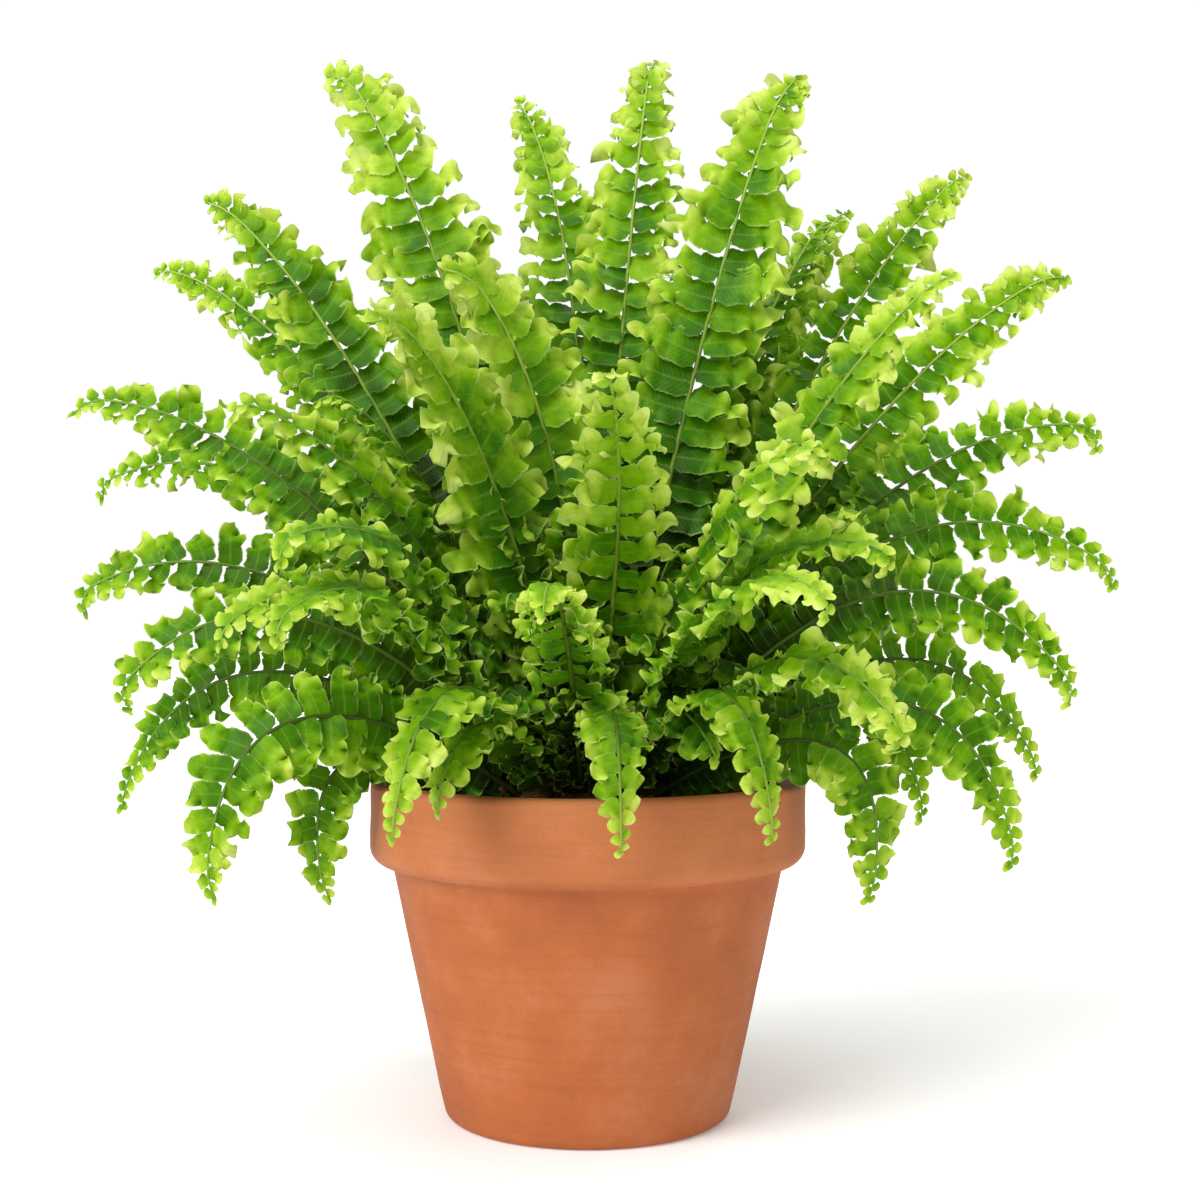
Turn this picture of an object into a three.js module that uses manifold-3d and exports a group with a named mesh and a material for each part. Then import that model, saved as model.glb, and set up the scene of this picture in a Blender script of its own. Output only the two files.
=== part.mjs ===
// A ruffled sword fern growing in a terracotta pot. Millimetres, +Z up, origin at the centre of the pot's
// underside, front of the plant towards -Y. The pot, the potting mix, the crown and each frond is one solid.
import * as THREE from "three";
import { mergeVertices } from "three/addons/utils/BufferGeometryUtils.js";
import Module from "manifold-3d";

const wasm = await Module();
wasm.setup();

// ---------------------------------------------------------------- driving dimensions, mm

const FIT_GAP = 0.3; // between a piece and what it rests on or stands in

const POT = {
  height: 154,
  rimRadius: 100, // outside of the rolled rim band, a 20 cm pot
  rimHeight: 37,
  rimCorner: 8, // rounding under the rim band
  neckRadius: 89.8, // outside of the wall where it meets the rim band
  footRadius: 66,
  footCorner: 5,
  wall: 8.5,
  floor: 9,
  lip: 3, // rounding of the lip's two edges
  drainRadius: 12,
  sides: 36,
};

const MIX = { surface: 138, dome: 5, cornerInset: 6 };

const CROWN = {
  radius: 44, // of the mound of rhizome that the fronds rise from
  seatRadius: 37, // the outermost frond stands this far out
  crestRadius: 15, // the flat middle of the mound
  shoulderRadius: 33,
  plugRadius: 27, // underneath, in the mix
  top: 153,
  shoulder: 149.6,
  edge: 143,
  bottom: 122,
  sides: 20,
};

const STALK = {
  footDepth: 9, // in its hole in the crown
  halfWidth: [1.5, 0.55], // at the foot and at the tip
  halfDepth: [1.3, 0.4],
  bare: 0.13, // share of the length without leaflets
  steps: 2, // sections along the bare part
  lastSection: 0.985, // share of the length where the tip's point begins
  fewestPairs: 4,
  rise: [0.36, 1.05], // first pull on the curve: share of the chord, share of the bow
  droop: [0.8, 1.6], // second pull, which turns the tip down
};

const LEAFLET = {
  interval: 22.5, // along the stalk, larger than life
  halfThickness: 0.35,
  shoulder: [0.84, -0.36], // outer corner nearer the base: share of the length, shift along the interval
  tip: [1, 0.31], // outer corner nearer the frond's tip
  lean: 0.16, // each leaflet sweeps towards the frond's tip by this much of its length
  wave: 0.13, // height of the ruffle, of the length
  taper: 0.5, // share of the blade over which the leaflets shorten to the tip
  tipBluntness: 0.85, // power of the taper's rounding
  atBase: 0.55, // the lowest leaflets' length, of the full length
  growth: 0.2, // share of the blade over which they reach the full length
  clearance: 0.35, // each side of a leaflet, kept free of its neighbours
  startOut: 2, // leaflets are tested from this many half widths of the stalk outwards
  bends: [9, -12, 26, -30, 43, -47, 56, -60], // degrees from the blade's plane, tried in this order
  cuts: [1, 0.82, 0.66, 0.54], // then shorter
};

const SEATS = {
  spacing: 8.4, // between two frond stalks on the crown
  outerLean: 75, // a frond that leans this many degrees stands at the crown's rim
  rounds: 160, // of pushing apart
  push: 0.25, // share of the lacking distance, each time
};

// The fronds that make up the plant's outline and its front, each by where its tip is, how far its stalk
// bows above the straight line to the tip, how far it bows sideways, the half width of its blade, and how
// far the blade turns its face to the front, from 0 to 1.
//   x,    y,   z,  bow, sway, half, turn
const PLACED_FRONDS = [
  [-125, 60, 503, 18, 0, 31, 0.9],
  [-39, 140, 507, 10, -16, 24, 0.8],
  [32, 85, 515, 8, 0, 26, 0.8],
  [99, 50, 495, 10, 0, 36, 0.9],
  [138, 140, 448, 14, 0, 20, 0.8],
  [193, 95, 457, 16, 0, 24, 0.85],
  [236, 60, 400, 22, 0, 25, 0.8],
  [155, -72, 377, 15, 0, 21, 0.6],
  [-60, -38, 388, 24, 0, 29, 0.85],
  [-87, -95, 359, 24, 0, 31, 0.6],
  [6, -125, 334, 14, 10, 24, 0.3],
  [-184, 45, 433, 17, 0, 26, 0.85],
  [-222, 95, 407, 32, 0, 20, 0.8],
  [-155, -75, 322, 26, 0, 18, 0.6],
  [-241, 0, 329, 34, 0, 22, 0.7],
  [-251, 75, 292, 54, 0, 18, 0.7],
  [-236, -22, 235, 46, 0, 20, 0.7],
  [-207, -62, 191, 54, 0, 19, 0.6],
  [-221, 15, 139, 60, 0, 19, 0.5],
  [-162, -72, 109, 62, 0, 23, 0.5],
  [-115, -42, 104, 50, 0, 19, 0.4],
  [-122, -150, 256, 40, 0, 21, 0.2],
  [-152, -112, 221, 44, 0, 18, 0.3],
  [-120, -165, 225, 40, 0, 20, 0.1],
  [-76, -140, 143, 54, 0, 20, 0],
  [-61, -115, 151, 34, 0, 16, 0],
  [14, -135, 137, 48, 0, 18, 0],
  [75, -122, 141, 54, 0, 19, 0],
  [124, -52, 106, 54, 0, 19, 0.3],
  [151, -30, 138, 56, 0, 15, 0.4],
  [185, -62, 122, 60, 0, 18, 0.5],
  [220, 45, 151, 58, 0, 18, 0.5],
  [219, -42, 192, 64, 0, 20, 0.6],
  [243, -20, 246, 58, 0, 21, 0.7],
  [252, 30, 318, 40, 0, 24, 0.7],
  [127, -142, 176, 46, 0, 18, 0.2],
  [94, -170, 234, 36, 0, 18, 0.1],
  [127, -120, 252, 40, 0, 17, 0.3],
  [94, -130, 300, 24, 0, 23, 0.4],
  [191, 95, 211, 44, 0, 15, 0.5],
  [-15, -203, 235, 30, 0, 18, 0],
];

// The back of the plant, away from the front view, in tiers of evenly spread fronds.
const BACK_TIERS = [
  { count: 4, from: 48, to: 132, reach: 165, tip: 424, bow: 16, half: 26 },
  { count: 6, from: 26, to: 154, reach: 206, tip: 300, bow: 40, half: 22 },
  { count: 6, from: 34, to: 146, reach: 176, tip: 150, bow: 56, half: 20 },
];
const BACK_JITTER = { azimuth: 5, reach: 8, tip: 16, sway: 12 };

const COLOURS = { terracotta: 0xc4713f, mix: 0x2b211a, crown: 0x5d4a2b, young: 0xa6cf3a, old: 0x4f8f26 };

// ---------------------------------------------------------------- small helpers

const vec = (x, y, z) => new THREE.Vector3(x, y, z);
const UP = vec(0, 0, 1);
const FRONT = vec(0, -1, 0);
const radians = THREE.MathUtils.degToRad;
const mix = THREE.MathUtils.lerp;

/** Seeded random numbers from 0 to 1, the same on every run. */
function randomFrom(seed) {
  let state = seed;
  return () => {
    state = (state * 16807) % 2147483647;
    return state / 2147483647;
  };
}

/** A closed geometry's solid, for joining and cutting. */
function solidOf(geometry) {
  const bare = geometry.clone();
  bare.deleteAttribute("normal");
  bare.deleteAttribute("uv");
  const merged = mergeVertices(bare, 1e-4);
  return new wasm.Manifold(
    new wasm.Mesh({
      numProp: 3,
      vertProperties: merged.attributes.position.array,
      triVerts: new Uint32Array(merged.index.array),
    }),
  );
}

/** A solid's surface as a geometry again. */
function geometryOf(solid) {
  const mesh = solid.getMesh();
  return geometryFrom(mesh.vertProperties, mesh.triVerts);
}

function geometryFrom(positions, triangles) {
  const geometry = new THREE.BufferGeometry();
  geometry.setAttribute("position", new THREE.BufferAttribute(new Float32Array(positions), 3));
  geometry.setIndex(new THREE.BufferAttribute(new Uint32Array(triangles), 1));
  geometry.computeVertexNormals();
  return geometry;
}

/** A round piece from its profile of [radius, height] points, turned about Z. */
function turned(profile, sides) {
  const points = profile.map(([radius, height]) => new THREE.Vector2(radius, height));
  return new THREE.LatheGeometry(points, sides).rotateX(Math.PI / 2);
}

/** Points of a quarter-round corner between two directions given in degrees. */
function corner(centreRadius, centreHeight, radius, from, to, steps) {
  return Array.from({ length: steps + 1 }, (_, i) => {
    const angle = radians(mix(from, to, i / steps));
    return [centreRadius + radius * Math.cos(angle), centreHeight + radius * Math.sin(angle)];
  });
}

// ---------------------------------------------------------------- pot, potting mix and crown

/** The pot's inner wall radius at a height. */
function innerRadius(height) {
  const slope = (POT.neckRadius - POT.footRadius) / (POT.height - POT.rimHeight);
  return POT.footRadius + slope * height - POT.wall;
}

function potGeometry() {
  const { height, rimRadius, rimHeight, rimCorner, footRadius, footCorner, lip } = POT;
  const rimFoot = height - rimHeight;
  const throat = innerRadius(height - lip);
  const profile = [
    [POT.drainRadius, 0],
    ...corner(footRadius - footCorner, footCorner, footCorner, -90, -12, 1),
    [POT.neckRadius, rimFoot],
    ...corner(rimRadius - rimCorner, rimFoot + rimCorner, rimCorner, -76, 0, 2),
    ...corner(rimRadius - lip, height - lip, lip, 0, 90, 1),
    ...corner(throat + lip, height - lip, lip, 90, 180, 1),
    [innerRadius(POT.floor), POT.floor],
    [POT.drainRadius, POT.floor],
    [POT.drainRadius, 0],
  ];
  return turned(profile, POT.sides);
}

function mixSolid() {
  const bottom = POT.floor + FIT_GAP;
  const wall = innerRadius(MIX.surface) - FIT_GAP;
  const body = turned(
    [
      [0, bottom],
      [innerRadius(bottom) - MIX.cornerInset, bottom],
      [innerRadius(bottom + MIX.cornerInset) - FIT_GAP, bottom + MIX.cornerInset],
      [wall, MIX.surface],
      [CROWN.radius, MIX.surface + MIX.dome],
      [0, MIX.surface + MIX.dome],
    ],
    POT.sides,
  );
  const recess = turned(crownProfile(FIT_GAP), CROWN.sides);
  return solidOf(body).subtract(solidOf(recess));
}

/** The crown's outline: a low mound above the mix, tapering to a root plug in it. */
function crownProfile(grown) {
  return [
    [0, CROWN.bottom - grown],
    [CROWN.plugRadius + grown, CROWN.bottom - grown],
    [CROWN.radius + grown, CROWN.edge],
    [CROWN.shoulderRadius + grown, CROWN.shoulder + grown],
    [CROWN.crestRadius + grown, CROWN.top + grown],
    [0, CROWN.top + grown],
  ];
}

/** Height of the crown's surface at a distance from its middle, where a stalk comes out of it. */
function crownSurface(radius) {
  const { crestRadius, shoulderRadius, top, shoulder, edge } = CROWN;
  if (radius < crestRadius) return top;
  if (radius < shoulderRadius) {
    return mix(top, shoulder, (radius - crestRadius) / (shoulderRadius - crestRadius));
  }
  return mix(shoulder, edge, (radius - shoulderRadius) / (CROWN.radius - shoulderRadius));
}

// ---------------------------------------------------------------- where each frond grows

/** Every frond: where its tip is and how it is shaped. */
function frondPlans() {
  const random = randomFrom(29);
  const spread = (amount) => amount * (2 * random() - 1);
  const plans = PLACED_FRONDS.map(([x, y, z, bow, sway, half, turn]) => {
    return { tip: vec(x, y, z), bow, sway, half, turn };
  });
  for (const tier of BACK_TIERS) {
    for (let i = 0; i < tier.count; i += 1) {
      const even = mix(tier.from, tier.to, i / (tier.count - 1));
      const azimuth = radians(even + spread(BACK_JITTER.azimuth));
      const reach = tier.reach + spread(BACK_JITTER.reach);
      const height = tier.tip + spread(BACK_JITTER.tip);
      const tip = vec(reach * Math.cos(azimuth), reach * Math.sin(azimuth), height);
      plans.push({ tip, bow: tier.bow, sway: spread(BACK_JITTER.sway), half: tier.half, turn: 0 });
    }
  }
  return plans;
}

/** Gives each frond its seat on the crown: upright ones inside, low ones outside, pushed evenly apart. */
function seatFronds(plans) {
  for (const plan of plans) {
    const reach = Math.hypot(plan.tip.x, plan.tip.y);
    const lean = Math.atan2(reach, plan.tip.z + 2 * plan.bow - CROWN.top);
    const radius = CROWN.seatRadius * Math.min(1, lean / radians(SEATS.outerLean));
    plan.seat = vec((plan.tip.x / reach) * radius, (plan.tip.y / reach) * radius, 0);
  }
  for (let round = 0; round < SEATS.rounds; round += 1) {
    for (const a of plans) {
      for (const b of plans) {
        const apart = vec(a.seat.x - b.seat.x, a.seat.y - b.seat.y, 0);
        const distance = apart.length();
        if (a === b || distance >= SEATS.spacing) continue;
        a.seat.addScaledVector(apart, (SEATS.push * (SEATS.spacing - distance)) / distance);
      }
      const out = Math.hypot(a.seat.x, a.seat.y);
      if (out > CROWN.seatRadius) a.seat.multiplyScalar(CROWN.seatRadius / out);
    }
  }
  for (const plan of plans) plan.seat.z = crownSurface(Math.hypot(plan.seat.x, plan.seat.y));
}

// ---------------------------------------------------------------- one frond

/** The direction across a frond, level with the ground. */
function acrossFrond(plan) {
  return vec(-plan.tip.y, plan.tip.x, 0).normalize();
}

/** The stalk's curve: it rises from its seat, bows over and droops to its tip. */
function stalkCurve(plan) {
  const chord = plan.tip.clone().sub(plan.seat).normalize();
  const over = UP.clone().addScaledVector(chord, -chord.z).normalize();
  const pull = ([share, bowShare]) =>
    plan.seat
      .clone()
      .lerp(plan.tip, share)
      .addScaledVector(over, bowShare * plan.bow)
      .addScaledVector(acrossFrond(plan), bowShare * plan.sway);
  return new THREE.CubicBezierCurve3(plan.seat, pull(STALK.rise), pull(STALK.droop), plan.tip);
}

/** Place and directions on the stalk: along it, across the blade, and out of the blade's face. */
function stalkFrame(plan, curve, share) {
  const at = curve.getPointAt(share);
  const along = curve.getTangentAt(share);
  const face = along.clone().cross(acrossFrond(plan)).normalize().multiplyScalar(1 - plan.turn);
  face.addScaledVector(FRONT, plan.turn).addScaledVector(along, -face.dot(along)).normalize();
  return { at, along, side: along.clone().cross(face).normalize(), face };
}

/** Half the blade's width at a share of its length, from its base to its tip. */
function bladeProfile(share) {
  const toTip = Math.min(1, (1 - share) / LEAFLET.taper);
  const fromBase = mix(LEAFLET.atBase, 1, Math.min(1, share / LEAFLET.growth));
  return Math.sin((toTip * Math.PI) / 2) ** LEAFLET.tipBluntness * fromBase;
}

/** The cross-sections of a frond's stalk, from its foot in the crown to its tip. */
function stalkSections(plan) {
  const curve = stalkCurve(plan);
  const length = curve.getLength();
  const pairs = Math.max(STALK.fewestPairs, Math.round((length * (1 - STALK.bare)) / LEAFLET.interval));
  const shares = [];
  for (let i = 0; i < STALK.steps; i += 1) shares.push((STALK.bare * i) / STALK.steps);
  for (let i = 0; i <= pairs; i += 1) shares.push(mix(STALK.bare, STALK.lastSection, i / pairs));
  const sections = shares.map((share) => ({ share, ...stalkFrame(plan, curve, share) }));
  const [seat] = sections;
  sections.unshift({ ...seat, at: seat.at.clone().addScaledVector(seat.along, -STALK.footDepth) });
  for (const section of sections) {
    section.halfWidth = mix(...STALK.halfWidth, section.share);
    section.halfDepth = mix(...STALK.halfDepth, section.share);
    const across = section.side.clone().multiplyScalar(section.halfWidth);
    const deep = section.face.clone().multiplyScalar(section.halfDepth);
    section.corner = (side, face) => {
      return section.at.clone().addScaledVector(across, side).addScaledVector(deep, face);
    };
  }
  return { sections, tip: plan.tip };
}

/** The outer corners of a leaflet between two stalk sections, one lifted and one dropped by its ruffle. */
function leafletCorners(plan, low, high, side, bend, cut, crimp) {
  const along = high.at.clone().sub(low.at);
  const interval = along.length();
  along.normalize();
  const across = low.side.clone().add(high.side).normalize();
  const root = low.at.clone().lerp(high.at, 0.5).addScaledVector(across, side * low.halfWidth);
  const face = low.face.clone().add(high.face).normalize();
  const angle = radians(bend);
  const out = across.clone().multiplyScalar(side * Math.cos(angle)).addScaledVector(face, Math.sin(angle));
  const normal = face.clone().multiplyScalar(Math.cos(angle));
  normal.addScaledVector(across, -side * Math.sin(angle));
  const bladeShare = ((low.share + high.share) / 2 - STALK.bare) / (1 - STALK.bare);
  const length = plan.half * bladeProfile(bladeShare) * cut;
  const point = ([reach, shift], lift) =>
    root
      .clone()
      .addScaledVector(out, reach * length)
      .addScaledVector(along, shift * interval + LEAFLET.lean * reach * length)
      .addScaledVector(normal, lift * LEAFLET.wave * length);
  return { normal, points: [point(LEAFLET.shoulder, crimp), point(LEAFLET.tip, -crimp)] };
}

/** A thin slab over an outline, as a solid for testing what it would cross. */
function slab(outline, normal, half) {
  const count = outline.length;
  const raised = (height) => outline.map((point) => point.clone().addScaledVector(normal, height));
  const positions = [...raised(half), ...raised(-half)].flatMap((point) => point.toArray());
  const triangles = [];
  for (let i = 1; i < count - 1; i += 1) {
    triangles.push(0, i, i + 1, count, count + i + 1, count + i);
  }
  for (let i = 0; i < count; i += 1) {
    const next = (i + 1) % count;
    triangles.push(i, count + i, count + next, i, count + next, next);
  }
  const solid = solidOf(geometryFrom(positions, triangles));
  return { solid, box: new THREE.Box3().setFromPoints(outline) };
}

/** What is already taken in the plant: stalks, leaflets, pot, mix and crown. */
class Thicket {
  constructor() {
    this.pieces = [];
  }

  add(piece, owner) {
    piece.box.expandByScalar(2 * LEAFLET.halfThickness + LEAFLET.clearance);
    this.pieces.push({ ...piece, owner });
  }

  isFree(piece, owner) {
    return this.pieces.every(
      (other) =>
        other.owner === owner ||
        !other.box.intersectsBox(piece.box) ||
        other.solid.intersect(piece.solid).isEmpty(),
    );
  }
}

/** Enters each stretch of every stalk, so that no leaflet crosses a stalk. */
function enterStalks(thicket, fronds) {
  const wide = 1 + LEAFLET.clearance;
  for (const frond of fronds) {
    for (let i = 1; i < frond.sections.length; i += 1) {
      const [low, high] = [frond.sections[i - 1], frond.sections[i]];
      const lower = [low.corner(-wide, 0), low.corner(wide, 0)];
      const upper = [high.corner(wide, 0), high.corner(-wide, 0)];
      const outline = [...lower, ...upper];
      thicket.add(slab(outline, low.face, low.halfDepth + LEAFLET.clearance), frond);
    }
  }
}

/** Bends a leaflet clear of what is there already, or shortens it. Gives nothing where there is no room. */
function placeLeaflet(thicket, frond, plan, low, high, side, crimp) {
  for (const cut of LEAFLET.cuts) {
    for (const bend of LEAFLET.bends) {
      const leaf = leafletCorners(plan, low, high, side, bend, cut, crimp);
      const root = [low, high].map((section) => section.corner(side * LEAFLET.startOut, 0));
      const ring =
        side > 0 ? [root[0], ...leaf.points, root[1]] : [root[1], ...leaf.points.reverse(), root[0]];
      const piece = slab(ring, leaf.normal, LEAFLET.halfThickness + LEAFLET.clearance);
      if (thicket.isFree(piece, frond)) {
        thicket.add(piece, frond);
        return leaf;
      }
    }
  }
  return null;
}

/** The mesh of one frond: a square stalk whose sides open out into thin leaflets. */
class FrondMesh {
  constructor() {
    this.positions = [];
    this.triangles = [];
  }

  vertex(point) {
    this.positions.push(...point.toArray());
    return this.positions.length / 3 - 1;
  }

  face(...ring) {
    for (let i = 1; i < ring.length - 1; i += 1) this.triangles.push(ring[0], ring[i], ring[i + 1]);
  }

  /** A thin blade whose first and last outline vertices are on the stalk, split alike on both faces. */
  blade(upper, lower) {
    const last = upper.length - 1;
    this.face(...upper);
    for (let i = 1; i < last; i += 1) this.face(lower[0], lower[i + 1], lower[i]);
    for (let i = 0; i < last; i += 1) this.face(upper[i], lower[i], lower[i + 1], upper[i + 1]);
  }
}

/** Builds a frond's geometry, with each leaflet where the thicket has room for it. */
function frondGeometry(thicket, frond, plan, index) {
  const mesh = new FrondMesh();
  const rings = frond.sections.map((section) => ({
    leftUp: mesh.vertex(section.corner(-1, 1)),
    rightUp: mesh.vertex(section.corner(1, 1)),
    rightLow: mesh.vertex(section.corner(1, -1)),
    leftLow: mesh.vertex(section.corner(-1, -1)),
  }));
  mesh.face(rings[0].leftUp, rings[0].leftLow, rings[0].rightLow, rings[0].rightUp);
  for (let i = 1; i < rings.length; i += 1) {
    const [a, b] = [rings[i - 1], rings[i]];
    mesh.face(a.leftUp, a.rightUp, b.rightUp, b.leftUp);
    mesh.face(a.leftLow, b.leftLow, b.rightLow, a.rightLow);
    const right = { from: [a.rightUp, a.rightLow], to: [b.rightUp, b.rightLow], side: 1 };
    const left = { from: [b.leftUp, b.leftLow], to: [a.leftUp, a.leftLow], side: -1 };
    for (const { from, to, side } of [right, left]) {
      const [low, high] = [frond.sections[i - 1], frond.sections[i]];
      const crimp = (i + index) % 2 ? 1 : -1;
      const bare = i <= STALK.steps + 1;
      const leaf = bare ? null : placeLeaflet(thicket, frond, plan, low, high, side, crimp);
      if (!leaf) {
        mesh.face(from[0], from[1], to[1], to[0]);
        continue;
      }
      const layer = (height) => {
        return leaf.points.map((p) => mesh.vertex(p.clone().addScaledVector(leaf.normal, height)));
      };
      const upper = layer(LEAFLET.halfThickness);
      const lower = layer(-LEAFLET.halfThickness);
      mesh.blade([from[0], ...upper, to[0]], [from[1], ...lower, to[1]]);
    }
  }
  const end = rings.at(-1);
  const last = frond.sections.at(-1);
  const upperTip = mesh.vertex(frond.tip.clone().addScaledVector(last.face, LEAFLET.halfThickness));
  const lowerTip = mesh.vertex(frond.tip.clone().addScaledVector(last.face, -LEAFLET.halfThickness));
  mesh.face(end.leftUp, end.rightUp, upperTip);
  mesh.face(end.leftLow, lowerTip, end.rightLow);
  mesh.face(end.rightUp, end.rightLow, lowerTip, upperTip);
  mesh.face(upperTip, lowerTip, end.leftLow, end.leftUp);
  return geometryFrom(mesh.positions, mesh.triangles);
}

/** The crown, with a plain hole for the foot of each stalk. */
function crownSolid(fronds) {
  let solid = solidOf(turned(crownProfile(0), CROWN.sides));
  for (const { sections } of fronds) {
    const foot = sections[0];
    const reach = 2 * STALK.footDepth;
    const hole = new THREE.BoxGeometry(
      2 * (foot.halfWidth + FIT_GAP),
      reach + FIT_GAP,
      2 * (foot.halfDepth + FIT_GAP),
    );
    const centre = foot.at.clone().addScaledVector(foot.along, (reach - FIT_GAP) / 2);
    hole.applyMatrix4(new THREE.Matrix4().makeBasis(foot.side, foot.along, foot.face).setPosition(centre));
    solid = solid.subtract(solidOf(hole));
  }
  return solid;
}

// ---------------------------------------------------------------- the whole plant

function node(name, geometry, colour, roughness) {
  const material = new THREE.MeshStandardMaterial({ color: colour, roughness, metalness: 0 });
  const mesh = new THREE.Mesh(geometry, material);
  mesh.name = name;
  return mesh;
}

function pottedFern() {
  const plans = frondPlans();
  seatFronds(plans);
  const fronds = plans.map(stalkSections);
  const group = new THREE.Group();
  const pot = potGeometry();
  const soil = mixSolid();
  const crown = crownSolid(fronds);
  group.add(node("pot", pot, COLOURS.terracotta, 0.85));
  group.add(node("potting_mix", geometryOf(soil), COLOURS.mix, 1));
  group.add(node("crown", geometryOf(crown), COLOURS.crown, 0.9));

  const thicket = new Thicket();
  for (const geometry of [pot, geometryOf(soil), turned(crownProfile(LEAFLET.clearance), CROWN.sides)]) {
    geometry.computeBoundingBox();
    thicket.add({ solid: solidOf(geometry), box: geometry.boundingBox.clone() }, null);
  }
  enterStalks(thicket, fronds);
  const [young, old] = [new THREE.Color(COLOURS.young), new THREE.Color(COLOURS.old)];
  fronds.forEach((frond, index) => {
    const colour = young.clone().lerp(old, (index % 5) / 4);
    const name = `frond_${String(index + 1).padStart(2, "0")}`;
    group.add(node(name, frondGeometry(thicket, frond, plans[index], index), colour, 0.5));
  });
  return group;
}

export default pottedFern();
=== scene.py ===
"""A ruffled sword fern in a terracotta pot, dressed for a studio picture on white.

The pot, the potting mix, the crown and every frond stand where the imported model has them. Sizes are in
millimetres here and turned to metres where a mesh is made. The front of the plant is towards -Y.
"""

import logging
import math
from dataclasses import dataclass, field
from enum import Enum

import bpy
import numpy as np
from mathutils import Euler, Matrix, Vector, noise


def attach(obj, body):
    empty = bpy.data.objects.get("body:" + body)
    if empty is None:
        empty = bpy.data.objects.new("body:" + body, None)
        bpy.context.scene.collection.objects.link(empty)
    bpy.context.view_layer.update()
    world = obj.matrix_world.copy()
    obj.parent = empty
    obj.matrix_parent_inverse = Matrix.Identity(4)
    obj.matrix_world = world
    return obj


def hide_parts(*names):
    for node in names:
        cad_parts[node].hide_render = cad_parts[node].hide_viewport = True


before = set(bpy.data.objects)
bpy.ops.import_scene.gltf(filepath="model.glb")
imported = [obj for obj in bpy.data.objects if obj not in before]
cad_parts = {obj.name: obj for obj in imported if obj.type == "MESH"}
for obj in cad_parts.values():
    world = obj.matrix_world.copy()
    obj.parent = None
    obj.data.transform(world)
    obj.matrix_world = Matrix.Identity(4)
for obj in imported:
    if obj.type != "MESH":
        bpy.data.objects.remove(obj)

LOG = logging.getLogger("potted_fern")

MM = 0.001
BODY = "root"
# Factor and modulus of the seeded numbers that spread the fronds at the back.
DRAW_FACTOR = 16807
DRAW_MODULUS = 2147483647
UP = np.array([0.0, 0.0, 1.0])
FRONT = np.array([0.0, -1.0, 0.0])

# Names of the UV map and the attribute that the leaflets' and the stalks' finishes read.
LEAFLET_MAP = "leaflet"
TONE = "tone"

Point = tuple[float, float]
Triple = tuple[float, float, float]
Shape = tuple[np.ndarray, np.ndarray]  # points, and the corners of the faces on them


# ---------------------------------------------------------------- colours, nodes and small helpers


def hex_colour(code: str) -> tuple[float, float, float, float]:
    """Turns an sRGB colour into the linear one that a shader takes.

    Args:
        code: the colour as #rrggbb.

    Returns:
        Red, green, blue and alpha.
    """
    channels = [int(code[i : i + 2], 16) / 255 for i in (1, 3, 5)]
    linear = [c / 12.92 if c <= 0.04045 else ((c + 0.055) / 1.055) ** 2.4 for c in channels]
    return (*linear, 1.0)


def add_node(
    tree: bpy.types.NodeTree,
    kind: str,
    inputs: dict | None = None,
    ramp: list[tuple[float, str]] | None = None,
    **named: object,
) -> bpy.types.Node:
    """Adds one node with its settings and links.

    Args:
        tree: the node tree it goes in.
        kind: its type, without the ShaderNode in front.
        inputs: what goes into its sockets, by name or number: another node, for its first output in
            use, or an output socket, a value, or a colour as #rrggbb.
        ramp: the stops of a colour ramp, each a place and a colour.
        named: more inputs, and its own properties.

    Returns:
        The node.
    """
    made = tree.nodes.new(f"ShaderNode{kind}")
    for name in [key for key in named if hasattr(made, key)]:
        setattr(made, name, named.pop(name))
    for name, value in {**(inputs or {}), **named}.items():
        if isinstance(value, bpy.types.Node):
            value = next(output for output in value.outputs if output.enabled)
        if isinstance(value, bpy.types.NodeSocket):
            tree.links.new(value, made.inputs[name])
        else:
            made.inputs[name].default_value = hex_colour(value) if isinstance(value, str) else value
    if ramp:
        stops = made.color_ramp.elements
        while len(stops) < len(ramp):
            stops.new(1.0)
        for stop, (place, colour) in zip(stops, ramp):
            stop.position = place
            stop.color = hex_colour(colour)
    return made


def new_material(name: str) -> tuple[bpy.types.Material, bpy.types.NodeTree, bpy.types.NodeSocket]:
    """Makes an empty node material.

    Args:
        name: what the finish is.

    Returns:
        The material, its node tree, and the place on the object that its patterns are read at.
    """
    material = bpy.data.materials.new(name)
    material.use_nodes = True
    material.node_tree.nodes.clear()
    place = add_node(material.node_tree, "TexCoord").outputs["Object"]
    return material, material.node_tree, place


def smoothstep(low: float, high: float, value: np.ndarray) -> np.ndarray:
    """Rises smoothly from 0 at low to 1 at high."""
    t = np.clip((value - low) / (high - low), 0.0, 1.0)
    return t * t * (3.0 - 2.0 * t)


def lerp(a: float, b: float, t: float) -> float:
    """The value at share t of the way from a to b."""
    return a + (b - a) * t


def unit(vectors: np.ndarray) -> np.ndarray:
    """The same directions at length 1."""
    return vectors / np.linalg.norm(vectors, axis=-1, keepdims=True)


def settle(piece: bpy.types.Object, name: str, nodes: tuple[str, ...] = ()) -> None:
    """Names a finished piece and puts it on the plant's body.

    Args:
        piece: the finished object, at the origin.
        name: its name.
        nodes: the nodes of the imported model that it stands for.
    """
    piece.name = name
    piece.data.name = name
    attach(piece, BODY)
    if nodes:
        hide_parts(*nodes)
    piece.select_set(False)
    LOG.info("%s: %d faces", name, len(piece.data.polygons))


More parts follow.
